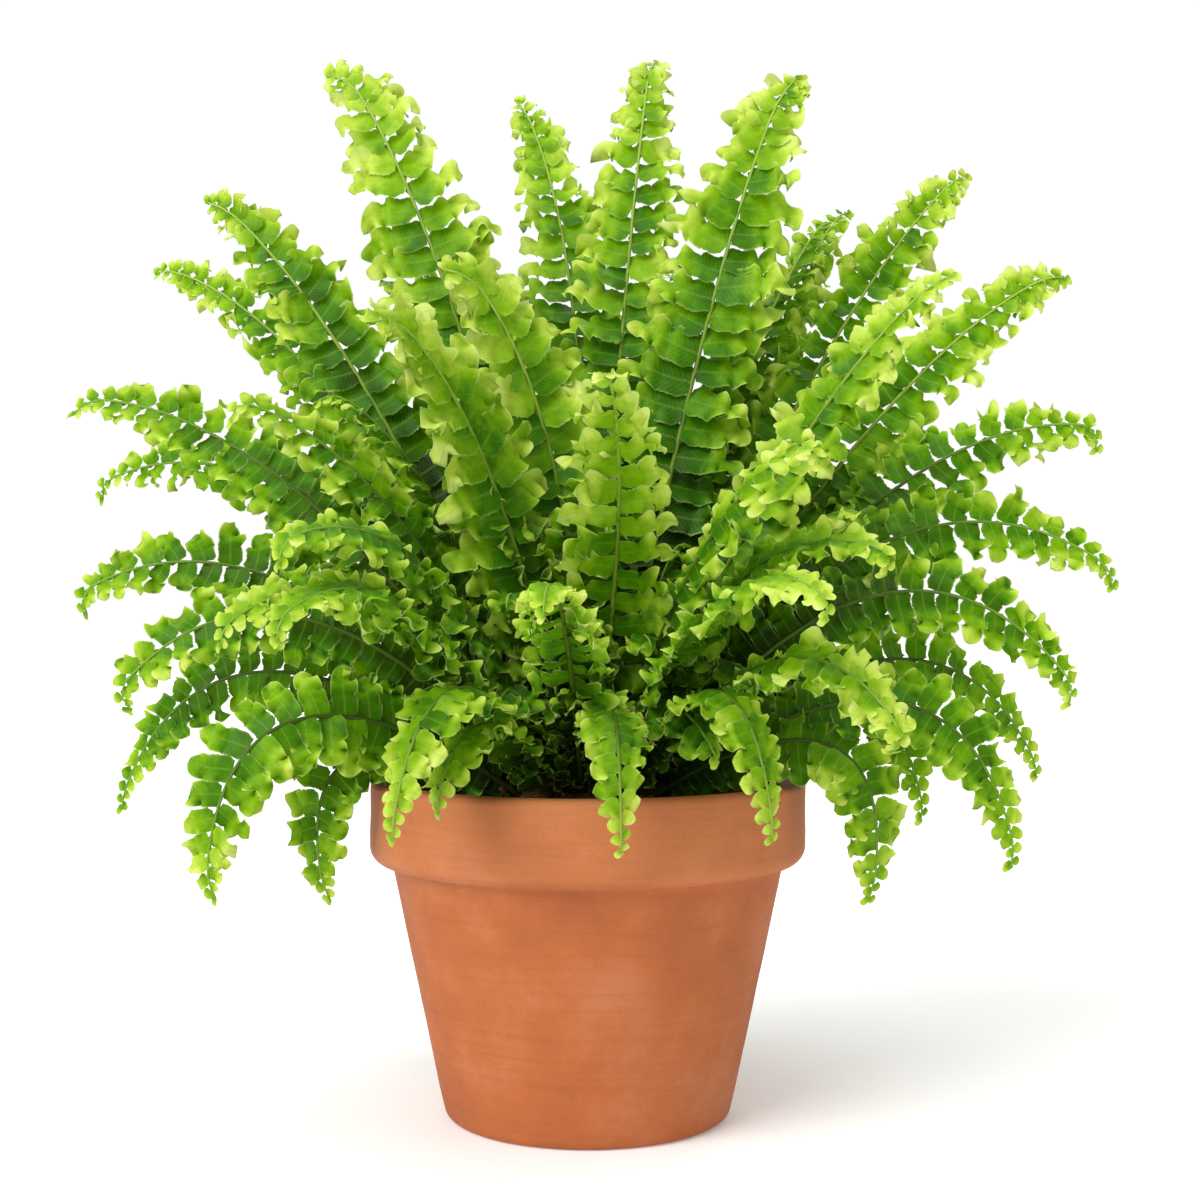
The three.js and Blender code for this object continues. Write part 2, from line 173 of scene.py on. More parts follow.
def turned_body(profile: list[Point], sides: int, open_start: bool = False) -> bpy.types.Object:
    """Turns a profile about Z, as on a wheel: a circle, extruded ring by ring.

    Args:
        profile: radius and height of each ring, in millimetres, the first one lowest or innermost.
        sides: points in each ring.
        open_start: True where the last ring meets the first one again, False where both ends close.

    Returns:
        The closed body, with its normals outwards.
    """
    bpy.ops.object.select_all(action="DESELECT")
    radius, height = profile[0]
    bpy.ops.mesh.primitive_circle_add(
        vertices=sides,
        radius=radius * MM,
        fill_type="NOTHING" if open_start else "TRIFAN",
        location=(0, 0, height * MM),
    )
    bpy.ops.object.transform_apply(location=True, rotation=False, scale=False)
    piece = bpy.context.object
    bpy.ops.object.mode_set(mode="EDIT")
    bpy.ops.mesh.select_all(action="SELECT")
    if not open_start:
        bpy.ops.mesh.region_to_loop()
    for next_radius, next_height in profile[1:]:
        rise = (0, 0, (next_height - height) * MM)
        bpy.ops.mesh.extrude_edges_move(TRANSFORM_OT_translate={"value": rise})
        share = next_radius / radius
        bpy.ops.transform.resize(value=(share, share, 1), center_override=(0, 0, next_height * MM))
        radius, height = next_radius, next_height
    if not open_start:
        bpy.ops.mesh.edge_face_add()
        bpy.ops.mesh.poke()
    bpy.ops.mesh.select_all(action="SELECT")
    bpy.ops.mesh.remove_doubles(threshold=0.01 * MM)
    bpy.ops.mesh.normals_make_consistent(inside=False)
    bpy.ops.object.mode_set(mode="OBJECT")
    bpy.ops.object.shade_smooth()
    return piece


def rounded(centre: Point, radius: float, start: float, end: float, steps: int) -> list[Point]:
    """Points of a rounded corner in a profile.

    Args:
        centre: radius and height of its centre.
        radius: of the rounding.
        start: direction of its first point from the centre, in degrees.
        end: direction of its last point.
        steps: parts that it is drawn in.

    Returns:
        The points, first to last.
    """
    angles = [math.radians(lerp(start, end, i / steps)) for i in range(steps + 1)]
    return [(centre[0] + radius * math.cos(a), centre[1] + radius * math.sin(a)) for a in angles]


def read_points(piece: bpy.types.Object) -> np.ndarray:
    """Reads a mesh's points.

    Args:
        piece: the object.

    Returns:
        Its points, in millimetres.
    """
    flat = np.zeros(len(piece.data.vertices) * 3)
    piece.data.vertices.foreach_get("co", flat)
    return flat.reshape(-1, 3) / MM


def write_points(piece: bpy.types.Object, points: np.ndarray) -> None:
    """Moves a mesh's points to new places, in millimetres."""
    piece.data.vertices.foreach_set("co", (points * MM).astype(np.float32).ravel())
    piece.data.update()


def take_shape(piece: bpy.types.Object) -> Shape:
    """Takes a modelled piece away and keeps its shape.

    Args:
        piece: the object.

    Returns:
        Its points, in millimetres, and its faces' corners.
    """
    points = read_points(piece)
    faces = np.array([list(p.vertices) for p in piece.data.polygons])
    bpy.data.objects.remove(piece)
    return points, faces


def rough(points: np.ndarray, size: float, seed: float) -> np.ndarray:
    """Smooth random values from -1 to 1, one at each point.

    Args:
        points: the places, in millimetres.
        size: how far apart two hills are, in millimetres.
        seed: a shift that gives another pattern.

    Returns:
        The values.
    """
    return np.array([noise.noise(Vector(p / size) + Vector((seed, seed, seed))) for p in points])


# ---------------------------------------------------------------- finishes


@dataclass(frozen=True)
class Terracotta:
    """Fired earthenware, thrown on a wheel and left unglazed.

    It is matt and warm orange-brown, with fine level lines from the turning, a grain like fine sand,
    and clouds of paler clay where salts came to the surface.
    """

    body: str = "#b96735"
    deep: str = "#ae5f35"
    bloom: str = "#c4774e"
    # Painted light: the paler clay colour that the rim band is lifted towards.
    painted_rim_light: str = "#cf8757"
    rim_light_share: float = 0.27
    rim_foot: Point = (0.113, 0.121)  # heights between which the painted light on the rim band sets in, in metres
    cloud_size: float = 46.0
    line_spacing: float = 2.4
    grain_size: float = 0.7
    streaking: float = 0.26
    speckling: float = 0.42
    roughness: float = 0.74

    def material(self) -> bpy.types.Material:
        """Builds the finish.

        Returns:
            The material.
        """
        material, tree, place = new_material("unglazed_terracotta")
        cloud = add_node(
            tree, "TexNoise", Vector=place, Scale=1 / (self.cloud_size * MM), Detail=5.0, Roughness=0.6
        )
        stops = [(0.32, self.deep), (0.5, self.body), (0.7, self.bloom)]
        clay = add_node(tree, "ValToRGB", {0: cloud}, stops)
        # Painted light: the rim band is made paler than the wall under it, to lift the shade that the fronds
        # cast on it.
        height = add_node(tree, "SeparateXYZ", {0: place}).outputs[2]
        low, high = self.rim_foot
        painted_rim_light = add_node(tree, "MapRange", {0: height, 1: low, 2: high, 3: 0.0, 4: self.rim_light_share})
        clay = add_node(tree, "Mix", {0: painted_rim_light, 6: clay, 7: self.painted_rim_light}, data_type="RGBA")
        # The turning lines run level round the pot, so height is drawn out and the rest pressed flat.
        level = add_node(tree, "Mapping", Vector=place, Scale=(0.05, 0.05, 1.0))
        lines = add_node(
            tree, "TexNoise", Vector=level, Scale=1 / (self.line_spacing * MM), Detail=4.0, Roughness=0.65
        )
        stops = [(0.3, "#c8c8c8"), (0.5, "#f4f4f4"), (0.72, "#ffffff")]
        streaks = add_node(tree, "ValToRGB", {0: lines}, stops)
        share = {0: self.streaking, 6: clay, 7: streaks}
        streaked = add_node(tree, "Mix", share, data_type="RGBA", blend_type="MULTIPLY")
        grain = add_node(
            tree, "TexNoise", Vector=place, Scale=1 / (self.grain_size * MM), Detail=3.0, Roughness=0.7
        )
        stops = [(0.27, "#8f8f8f"), (0.42, "#efefef"), (0.66, "#ffffff")]
        speckle = add_node(tree, "ValToRGB", {0: grain}, stops)
        share = {0: self.speckling, 6: streaked, 7: speckle}
        speckled = add_node(tree, "Mix", share, data_type="RGBA", blend_type="MULTIPLY")
        relief = add_node(tree, "Math", {0: lines, 1: 0.55, 2: grain}, operation="MULTIPLY_ADD")
        bump = add_node(tree, "Bump", Height=relief, Strength=0.32, Distance=0.35 * MM)
        look = {"Base Color": speckled, "Specular IOR Level": 0.32}
        shader = add_node(tree, "BsdfPrincipled", look, Normal=bump, Roughness=self.roughness, IOR=1.5)
        add_node(tree, "OutputMaterial", {0: shader})
        return material


@dataclass(frozen=True)
class DampPeat:
    """Potting mix of peat and bark, kept damp: near black, crumbly, with brown fibres."""

    dark: str = "#1c130c"
    brown: str = "#3d2a1a"
    fibre: str = "#6b4a2c"
    crumb_size: float = 3.5
    roughness: float = 0.9

    def material(self) -> bpy.types.Material:
        """Builds the finish.

        Returns:
            The material.
        """
        material, tree, place = new_material("damp_peat")
        crumbs = add_node(
            tree, "TexNoise", Vector=place, Scale=1 / (self.crumb_size * MM), Detail=6.0, Roughness=0.72
        )
        stops = [(0.38, self.dark), (0.56, self.brown), (0.76, self.fibre)]
        look = {"Base Color": add_node(tree, "ValToRGB", {0: crumbs}, stops), "Specular IOR Level": 0.2}
        bump = add_node(tree, "Bump", Height=crumbs, Strength=0.7, Distance=1.2 * MM)
        shader = add_node(tree, "BsdfPrincipled", look, Normal=bump, Roughness=self.roughness)
        add_node(tree, "OutputMaterial", {0: shader})
        return material


@dataclass(frozen=True)
class Perlite:
    """Puffed volcanic glass, the white grains in potting mix: chalky and pitted."""

    white: str = "#e4ded2"
    stained: str = "#b9ab94"
    pit_size: float = 0.8
    roughness: float = 0.85

    def material(self) -> bpy.types.Material:
        """Builds the finish.

        Returns:
            The material.
        """
        material, tree, place = new_material("perlite")
        pits = add_node(tree, "TexNoise", Vector=place, Scale=1 / (self.pit_size * MM), Detail=3.0)
        colour = add_node(tree, "ValToRGB", {0: pits}, [(0.35, self.stained), (0.6, self.white)])
        bump = add_node(tree, "Bump", Height=pits, Strength=0.6, Distance=0.3 * MM)
        look = {"Base Color": colour, "Normal": bump}
        shader = add_node(tree, "BsdfPrincipled", look, Roughness=self.roughness)
        add_node(tree, "OutputMaterial", {0: shader})
        return material


@dataclass(frozen=True)
class ScalyRhizome:
    """The fern's rootstock and the bases of old stalks: brown, papery and streaked lengthwise."""

    name: str = "scaly_rhizome"
    dark: str = "#2c1d10"
    brown: str = "#5f4425"
    straw: str = "#94713c"
    streak_size: float = 2.2
    roughness: float = 0.8

    def material(self) -> bpy.types.Material:
        """Builds the finish.

        Returns:
            The material.
        """
        material, tree, place = new_material(self.name)
        upright = add_node(tree, "Mapping", Vector=place, Scale=(1.0, 1.0, 0.3))
        streaks = add_node(
            tree, "TexNoise", Vector=upright, Scale=1 / (self.streak_size * MM), Detail=5.0, Roughness=0.7
        )
        stops = [(0.34, self.dark), (0.54, self.brown), (0.74, self.straw)]
        look = {"Base Color": add_node(tree, "ValToRGB", {0: streaks}, stops), "Specular IOR Level": 0.3}
        bump = add_node(tree, "Bump", Height=streaks, Strength=0.6, Distance=0.7 * MM)
        shader = add_node(tree, "BsdfPrincipled", look, Normal=bump, Roughness=self.roughness)
        add_node(tree, "OutputMaterial", {0: shader})
        return material


@dataclass(frozen=True)
class FernBlade:
    """A living leaflet: thin, waxy and lit through, deep green by the rib and pale at its ruffled edge; part
    of the deep green and of the pale is painted shade and painted light.
    """

    shade: str = "#0b2e00"
    green: str = "#357200"
    fresh: str = "#7eae0a"
    young: str = "#c4dc4c"
    # Palest yellow-green, reached where young tone and painted light add up: partly a painted highlight.
    palest: str = "#dcec80"
    # Partly the leaflet's paler margin, partly painted rim light.
    edge: str = "#d8e68a"
    rib: str = "#92b440"
    glow: str = "#8ac800"
    light_through: float = 0.24
    patch_size: float = 9.0
    veins: float = 15.0
    vein_slant: float = 0.16
    roughness: float = 0.4

    def material(self) -> bpy.types.Material:
        """Builds the finish: tone attribute, the leaflet's own UV map and patches by place.

        Returns:
            The material.
        """
        material, tree, place = new_material("fern_blade")
        tone = add_node(tree, "Attribute", attribute_name=TONE).outputs["Fac"]
        uv = add_node(tree, "UVMap", uv_map=LEAFLET_MAP)
        along, across = add_node(tree, "SeparateXYZ", {0: uv}).outputs[:2]
        centred = add_node(tree, "Math", {0: across, 1: 0.5}, operation="SUBTRACT")
        half = add_node(tree, "Math", {0: centred}, operation="ABSOLUTE")
        out = add_node(tree, "Math", {0: half, 1: 2.0}, operation="MULTIPLY")
        patches = add_node(
            tree, "TexNoise", Vector=place, Scale=1 / (self.patch_size * MM), Detail=3.0, Roughness=0.6
        )
        smooth = {"interpolation_type": "SMOOTHSTEP"}
        coloured = {"data_type": "RGBA"}

        # Tone of this spot: the frond's own, with painted shade at the leaflet's root, where its neighbours
        # shade it, painted light towards its end, and uneven patches.
        painted_shade_to_light = add_node(tree, "MapRange", {0: along, 1: 0.05, 2: 1.0, 3: -0.24, 4: 0.31}, **smooth)
        uneven = add_node(tree, "MapRange", {0: patches, 1: 0.3, 2: 0.7, 3: -0.13, 4: 0.13})
        lifted = add_node(tree, "Math", {0: tone, 1: painted_shade_to_light}, operation="ADD")
        spot = add_node(tree, "Math", {0: lifted, 1: uneven}, operation="ADD")
        level = add_node(tree, "Math", {0: spot, 1: 0.8}, operation="MULTIPLY")
        stops = [(0.0, self.shade), (0.29, self.green), (0.54, self.fresh), (0.8, self.young)]
        flesh = add_node(tree, "ValToRGB", {0: level}, [*stops, (1.0, self.palest)])

        # Side veins slant from the rib to the edge; real ones stand 1 mm apart, these 2 mm, to show.
        slant = add_node(tree, "Math", {0: out, 1: -self.vein_slant, 2: along}, operation="MULTIPLY_ADD")
        beat = add_node(tree, "Math", {0: slant, 1: self.veins * math.tau}, operation="MULTIPLY")
        vein = add_node(tree, "Math", {0: beat}, operation="SINE")
        veined = add_node(tree, "MapRange", {0: vein, 1: -1.0, 2: 1.0, 3: 0.0, 4: 0.05})
        fleshed = add_node(tree, "Mix", {0: veined, 6: flesh, 7: self.young}, **coloured)
        rib_line = add_node(tree, "MapRange", {0: out, 1: 0.02, 2: 0.12, 3: 0.22, 4: 0.0}, **smooth)
        ribbed = add_node(tree, "Mix", {0: rib_line, 6: fleshed, 7: self.rib}, **coloured)

        # The edge is pale, most of all towards the end, and broken in places: partly the leaflet's paler
        # margin, partly painted rim light.
        rim_side = add_node(tree, "MapRange", {0: out, 1: 0.84, 2: 1.0, 3: 0.0, 4: 0.85}, **smooth)
        outer = add_node(tree, "MapRange", {0: along, 1: 0.1, 2: 0.75, 3: 0.2, 4: 1.0}, **smooth)
        rim_side = add_node(tree, "Math", {0: rim_side, 1: outer}, operation="MULTIPLY")
        rim_end = add_node(tree, "MapRange", {0: along, 1: 0.93, 2: 1.0, 3: 0.0, 4: 0.75}, **smooth)
        rim = add_node(tree, "Math", {0: rim_side, 1: rim_end}, operation="MAXIMUM")
        rim_breaks = add_node(tree, "MapRange", {0: patches, 1: 0.36, 2: 0.6, 3: 0.3, 4: 1.0})
        rimmed = add_node(tree, "Math", {0: rim, 1: rim_breaks}, operation="MULTIPLY")
        edged = add_node(tree, "Mix", {0: rimmed, 6: ribbed, 7: self.edge}, **coloured)

        grooved = add_node(tree, "Math", {0: rib_line, 1: -2.5, 2: patches}, operation="MULTIPLY_ADD")
        relief = add_node(tree, "Math", {0: vein, 1: 0.09, 2: grooved}, operation="MULTIPLY_ADD")
        bump = add_node(tree, "Bump", Height=relief, Strength=0.35, Distance=0.4 * MM)
        look = {"Base Color": edged, "Specular IOR Level": 0.13}
        skin = add_node(tree, "BsdfPrincipled", look, Normal=bump, Roughness=self.roughness, IOR=1.45)
        lit_through = add_node(tree, "Mix", {0: 0.5, 6: edged, 7: self.glow}, **coloured)
        through = add_node(tree, "BsdfTranslucent", Color=lit_through)
        leaf = add_node(tree, "MixShader", {0: self.light_through, 1: skin, 2: through})
        add_node(tree, "OutputMaterial", {0: leaf})
        return material


@dataclass(frozen=True)
class FernStalk:
    """A frond's wiry stalk: smooth and firm, brown at its foot and green at the tip.

    In between it has painted shade and light: deep green where it lies among other fronds, and olive yellow
    where it stands free.
    """

    foot: str = "#4a3a18"
    shaded: str = "#2c470f"
    shaded_tip: str = "#6d9a2b"
    sunned: str = "#6a8420"
    sunned_tip: str = "#9cba48"
    streak_size: float = 1.4
    roughness: float = 0.42

    def material(self) -> bpy.types.Material:
        """Builds the finish; the UV map's u runs from foot to tip.

        Returns:
            The material.
        """
        material, tree, place = new_material("fern_stalk")
        uv = add_node(tree, "UVMap", uv_map=LEAFLET_MAP)
        along = add_node(tree, "SeparateXYZ", {0: uv}).outputs[0]
        streaks = add_node(tree, "TexNoise", Vector=place, Scale=1 / (self.streak_size * MM), Detail=2.0)
        shifted = add_node(tree, "Math", {0: streaks, 1: 0.12, 2: along}, operation="MULTIPLY_ADD")
        # Painted shade and light: the tone attribute mixes a shaded and a lit copy of the stalk's colours.
        stalk_light_share = add_node(tree, "Attribute", attribute_name=TONE).outputs["Fac"]
        foot = (0.06, self.foot)
        stops = [foot, (0.2, self.shaded), (0.7, self.shaded), (1.05, self.shaded_tip)]
        deep = add_node(tree, "ValToRGB", {0: shifted}, stops)
        stops = [foot, (0.24, self.sunned), (0.62, self.sunned), (1.0, self.sunned_tip)]
        light = add_node(tree, "ValToRGB", {0: shifted}, stops)
        colour = add_node(tree, "Mix", {0: stalk_light_share, 6: deep, 7: light}, data_type="RGBA")
        bump = add_node(tree, "Bump", Height=streaks, Strength=0.25, Distance=0.2 * MM)
        look = {"Base Color": colour, "Specular IOR Level": 0.25}
        shader = add_node(tree, "BsdfPrincipled", look, Normal=bump, Roughness=self.roughness, IOR=1.45)
        add_node(tree, "OutputMaterial", {0: shader})
        return material


@dataclass(frozen=True)
class SeamlessPaper:
    """The white paper of a light table, which the plant is photographed on: matt, with hardly any grain."""

    white: str = "#f6f6f4"
    shade: str = "#f4f4f3"
    grain_size: float = 6.0
    roughness: float = 0.95
    lit_from_below: float = 0.17

    def material(self) -> bpy.types.Material:
        """Builds the finish.

        Returns:
            The material.
        """
        material, tree, place = new_material("seamless_paper")
        grain = add_node(tree, "TexNoise", Vector=place, Scale=1 / (self.grain_size * MM))
        colour = add_node(tree, "ValToRGB", {0: grain}, [(0.2, self.shade), (0.8, self.white)])
        look = {"Base Color": colour, "Specular IOR Level": 0.1, "Emission Color": "#ffffff"}
        look["Emission Strength"] = self.lit_from_below
        shader = add_node(tree, "BsdfPrincipled", look, Roughness=self.roughness)
        add_node(tree, "OutputMaterial", {0: shader})
        return material


# ---------------------------------------------------------------- studio


@dataclass
class Studio:
    """White ground, soft light from all round and the camera that the photograph was taken with."""

    camera_place: Triple = (5.55, -873.8, 236.4)
    lens: float = 56.66
    sensor: float = 36.0
    floor_radius: float = 9000.0
    floor_sides: int = 96
    sky_light: float = 0.23
    sky_seen: float = 1.02
    # Each lamp is a far, wide soft light: name, the direction it stands in, its width in degrees, strength.
    lamps: tuple[tuple[str, Triple, float, float], ...] = (
        ("key", (-1.0, -1.0, 1.15), 40, 2.5),
        ("fill", (1.0, -0.9, 0.5), 60, 0.18),
        ("front", (-0.2, -1.0, 0.2), 60, 0.35),
        ("top", (0.1, -0.1, 1.0), 50, 1.4),
        ("behind", (0.2, 1.0, 0.8), 50, 0.8),
    )

    def build(self) -> None:
        """Makes the camera, the floor, the lamps and the white surroundings."""
        self.make_camera()
        self.make_floor()
        for name, place, width, strength in self.lamps:
            self.make_lamp(name, place, width, strength)
        self.make_surroundings()
        bpy.context.scene.view_settings.view_transform = "Standard"

    def make_camera(self) -> None:
        """Puts the camera level in front of the plant."""
        data = bpy.data.cameras.new("camera")
        data.lens = self.lens
        data.sensor_width = self.sensor
        camera = bpy.data.objects.new("camera", data)
        camera.location = Vector(self.camera_place) * MM
        camera.rotation_euler = Euler((math.radians(90), 0, 0))
        bpy.context.scene.collection.objects.link(camera)
        bpy.context.scene.camera = camera

    def make_floor(self) -> None:
        """Lays a round sheet of paper that runs out of sight."""
        bpy.ops.object.select_all(action="DESELECT")
        radius = self.floor_radius * MM
        bpy.ops.mesh.primitive_circle_add(vertices=self.floor_sides, radius=radius, fill_type="NGON")
        floor = bpy.context.object
        floor.name = "paper_floor"
        floor.data.materials.append(SeamlessPaper().material())
        floor.select_set(False)

    def make_lamp(self, name: str, place: Triple, width: float, strength: float) -> None:
        """Hangs one soft light, wide and far away, so that it lights the floor evenly.

        Args:
            name: what it does.
            place: the direction that it stands in.
            width: how wide it looks from the plant, in degrees.
            strength: its power on a surface that faces it.
        """
        data = bpy.data.lights.new(name, "SUN")
        data.angle = math.radians(width)
        data.energy = strength
        lamp = bpy.data.objects.new(name, data)
        lamp.rotation_euler = (-Vector(place)).to_track_quat("-Z", "Y").to_euler()
        bpy.context.scene.collection.objects.link(lamp)

    def make_surroundings(self) -> None:
        """Surrounds the plant with white, seen brighter by the camera than it shines."""
        world = bpy.data.worlds.new("white_studio")
        world.use_nodes = True
        tree = world.node_tree
        tree.nodes.clear()
        seen = add_node(tree, "LightPath").outputs["Is Camera Ray"]
        strength = add_node(tree, "MapRange", {0: seen, 3: self.sky_light, 4: self.sky_seen})
        sky = add_node(tree, "Background", Color="#ffffff", Strength=strength)
        add_node(tree, "OutputWorld", {0: sky})
        bpy.context.scene.world = world


# ---------------------------------------------------------------- pot


@dataclass
class Pot:
    """The thrown pot: a tapered wall, a band round the rim and a drain hole in the floor."""

    height: float = 154.0
    rim_radius: float = 100.0
    rim_height: float = 37.0
    rim_corner: float = 8.0
    neck_radius: float = 89.8
    neck_fillet: float = 1.8
    foot_radius: float = 66.0
    foot_corner: float = 5.0
    wall: float = 8.5
    floor: float = 9.0
    lip: float = 3.0
    drain_radius: float = 12.0
    sides: int = 144
    unevenness: float = 0.28
    turning_lines: float = 0.12
    finish: Terracotta = field(default_factory=Terracotta)

    def wall_radius(self, height: np.ndarray | float) -> np.ndarray | float:
        """The outside radius at a height of the tapered wall, as if it had no rim band."""
        slope = (self.neck_radius - self.foot_radius) / (self.height - self.rim_height)
        return self.foot_radius + slope * height

    def inner_radius(self, height: np.ndarray | float) -> np.ndarray | float:
        """The inner wall's radius at a height."""
        return self.wall_radius(height) - self.wall

    def outer_radius(self, height: np.ndarray) -> np.ndarray:
        """The outside radius at a height: the rim band above, the wall below."""
        on_band = height > self.height - self.rim_height - 1
        return np.where(on_band, self.rim_radius, self.wall_radius(height))

    def profile(self) -> list[Point]:
        """The pot's section, from the drain hole out, up, over the lip and down inside.

        Returns:
            Radius and height of each ring.
        """
        rim_foot = self.height - self.rim_height
        throat = self.inner_radius(self.height - self.lip)
        foot = self.foot_corner
        wall_start = (self.foot_radius + 0.6, foot + 1)
        points = [(self.drain_radius, 0.0), (self.drain_radius + 20, 0.0)]
        points += rounded((self.foot_radius - foot, foot), foot, -90, -12, 6)
        steps = 14
        for i in range(1, steps):
            share = i / steps
            radius = lerp(wall_start[0], self.neck_radius - 0.4, share)
            points.append((radius, lerp(wall_start[1], rim_foot - 3, share)))
        fillet = self.neck_fillet
        points += rounded((self.neck_radius + fillet - 0.3, rim_foot - fillet - 0.6), fillet, 168, 96, 5)
        corner = self.rim_corner
        points += rounded((self.rim_radius - corner, rim_foot + corner - 0.6), corner, -84, 0, 9)
        points += [(self.rim_radius, rim_foot + 14), (self.rim_radius - 0.2, rim_foot + 22)]
        points += rounded((self.rim_radius - self.lip, self.height - self.lip), self.lip, 0, 90, 6)
        points += rounded((throat + self.lip, self.height - self.lip), self.lip, 90, 180, 6)
        for height in (130.0, 105.0, 75.0, 45.0, self.floor + 6):
            points.append((self.inner_radius(height), height))
        points += [(self.inner_radius(self.floor) - 4, self.floor), (self.drain_radius, self.floor)]
        points.append((self.drain_radius, 0.0))
        return points

    def build(self) -> None:
        """Throws the pot: turns the section and gives it the slight unevenness of hand work."""
        pot = turned_body(self.profile(), self.sides, open_start=True)
        points = read_points(pot)
        radius = np.hypot(points[:, 0], points[:, 1])
        moved = self.unevenness * rough(points, 38.0, 3.0)
        moved += self.turning_lines * rough(points * [0.2, 0.2, 1], 7.0, 9.0)
        share = 1 + np.where(points[:, 2] > 1, moved, 0) / np.maximum(radius, 1)
        points[:, :2] *= share[:, None]
        write_points(pot, points)
        pot.data.materials.append(self.finish.material())
        settle(pot, "terracotta_pot", ("pot",))

    def push_clear(self, points: np.ndarray, gap: float) -> np.ndarray:
        """Moves points that are in the pot's wall to its nearest surface.

        Args:
            points: the points.
            gap: how far from the wall they come to lie.

        Returns:
            The points, clear of the pot.
        """
        moved = points.copy()
        radius = np.hypot(moved[:, 0], moved[:, 1])
        outer = self.outer_radius(moved[:, 2]) + gap
        inner = self.inner_radius(np.clip(moved[:, 2], 0, self.height)) - gap
        inside = (moved[:, 2] < self.height + gap) & (radius < outer) & (radius > inner)
        rise = self.height + gap - moved[:, 2]
        outward = outer - radius
        inward = radius - inner
        up = inside & (rise <= outward) & (rise <= inward)
        out = inside & ~up & (outward <= inward)
        back = inside & ~up & ~out
        moved[up, 2] = self.height + gap
        moved[out, :2] *= (outer / radius)[out, None]
        moved[back, :2] *= (inner / radius)[back, None]
        return moved


# ---------------------------------------------------------------- potting mix


@dataclass
class PottingMix:
    """The mix in the pot: a crumbly bed, loose crumbs and bark on it, and white grains of perlite."""

    pot: Pot
    surface: float = 138.0
    dome: float = 5.0
    fit_gap: float = 0.3
    crown_radius: float = 44.0
    plug_radius: float = 27.0
    plug_bottom: float = 122.0
    sides: int = 120
    rings: int = 16
    lumps: float = 1.5
    crumbs: int = 420
    crumb_size: Point = (0.9, 2.6)
    grains: int = 70
    grain_size: Point = (0.9, 1.9)
    wall_gap: float = 4.0  # how far the lumps stay from the wall
    crown_gap: float = 3.0  # and from the crown
    seed: int = 41
    finish: DampPeat = field(default_factory=DampPeat)

    def level(self, radius: np.ndarray) -> np.ndarray:
        """The bed's height.

        Args:
            radius: distance from the middle.

        Returns:
            The height there.
        """
        wall = self.pot.inner_radius(self.surface) - self.fit_gap
        share = np.clip((wall - radius) / (wall - self.crown_radius), 0, 1)
        return self.surface + self.dome * share

    def build(self) -> None:
        """Fills the pot and scatters crumbs and grains."""
        earth = self.finish.material()
        self.make_bed(earth)
        self.scatter("potting_mix_crumbs", earth, self.crumbs, self.crumb_size, self.seed)
        white = Perlite().material()
        self.scatter("perlite_grains", white, self.grains, self.grain_size, self.seed + 1)

    def make_bed(self, earth: bpy.types.Material) -> None:
        """Turns the bed, with the recess that the crown stands in, and breaks up its surface.

        Args:
            earth: its finish.
        """
        gap = self.fit_gap
        bottom = self.pot.floor + gap
        wall = self.pot.inner_radius(self.surface) - gap
        profile: list[Point] = [(self.pot.inner_radius(bottom) - 8, bottom)]
        profile += [(self.pot.inner_radius(bottom + 7) - gap, bottom + 7), (wall, self.surface)]
        crown_edge = self.crown_radius + gap
        for i in range(1, self.rings + 1):
            radius = lerp(wall, crown_edge, i / self.rings)
            profile.append((radius, float(self.level(np.array(radius)))))
        profile.append((self.plug_radius + gap, self.plug_bottom - gap))
        bed = turned_body(profile, self.sides)
        points = read_points(bed)
        radius = np.hypot(points[:, 0], points[:, 1])
        loose = (points[:, 2] > self.surface - 0.5) & (radius > crown_edge + 1)
        held = smoothstep(0, 6, wall - radius) * smoothstep(0, 5, radius - crown_edge)
        bumps = self.lumps * rough(points, 7.0, 1.0) + 0.5 * self.lumps * rough(points, 2.6, 5.0)
        points[loose, 2] += (bumps * held)[loose]
        write_points(bed, points)
        bed.data.materials.append(earth)
        settle(bed, "potting_mix_bed", ("potting_mix",))

    def scatter(self, name: str, material: bpy.types.Material, count: int, sizes: Point, seed: int) -> None:
        """Lays copies of one lump on the bed.

        Args:
            name: the piece's name.
            material: its finish.
            count: how many lumps.
            sizes: their smallest and largest radius.
            seed: of their places.
        """
        rng = np.random.default_rng(seed)
        bpy.ops.object.select_all(action="DESELECT")
        bpy.ops.mesh.primitive_ico_sphere_add(subdivisions=1, radius=MM)
        shape, faces = take_shape(bpy.context.object)
        wall = self.pot.inner_radius(self.surface) - self.wall_gap
        reach = np.sqrt(rng.uniform((self.crown_radius + self.crown_gap) ** 2, wall**2, count))
        turn = rng.uniform(0, math.tau, count)
        size = rng.uniform(sizes[0], sizes[1], count)
        lumps = MeshParts()
        for r, a, s in zip(reach, turn, size):
            squash = s * rng.uniform([0.7, 0.7, 0.45], [1.4, 1.1, 0.8])
            knobbly = shape * rng.uniform(0.78, 1.18, (len(shape), 1)) * squash
            spin = np.array(Euler(rng.uniform(-0.5, 0.5, 3)).to_matrix())
            centre = [r * math.cos(a), r * math.sin(a), float(self.level(np.array(r))) + 0.5 * s]
            lumps.add(Part(knobbly @ spin.T + centre, np.zeros((len(shape), 2)), [faces]))
        settle(lumps.make(name, [material]), name)


# ---------------------------------------------------------------- meshes joined from many parts


@dataclass
class Part:
    """Points in millimetres, a UV place for each, and faces in groups with the same number of corners."""

    points: np.ndarray
    uv: np.ndarray
    faces: list[np.ndarray]


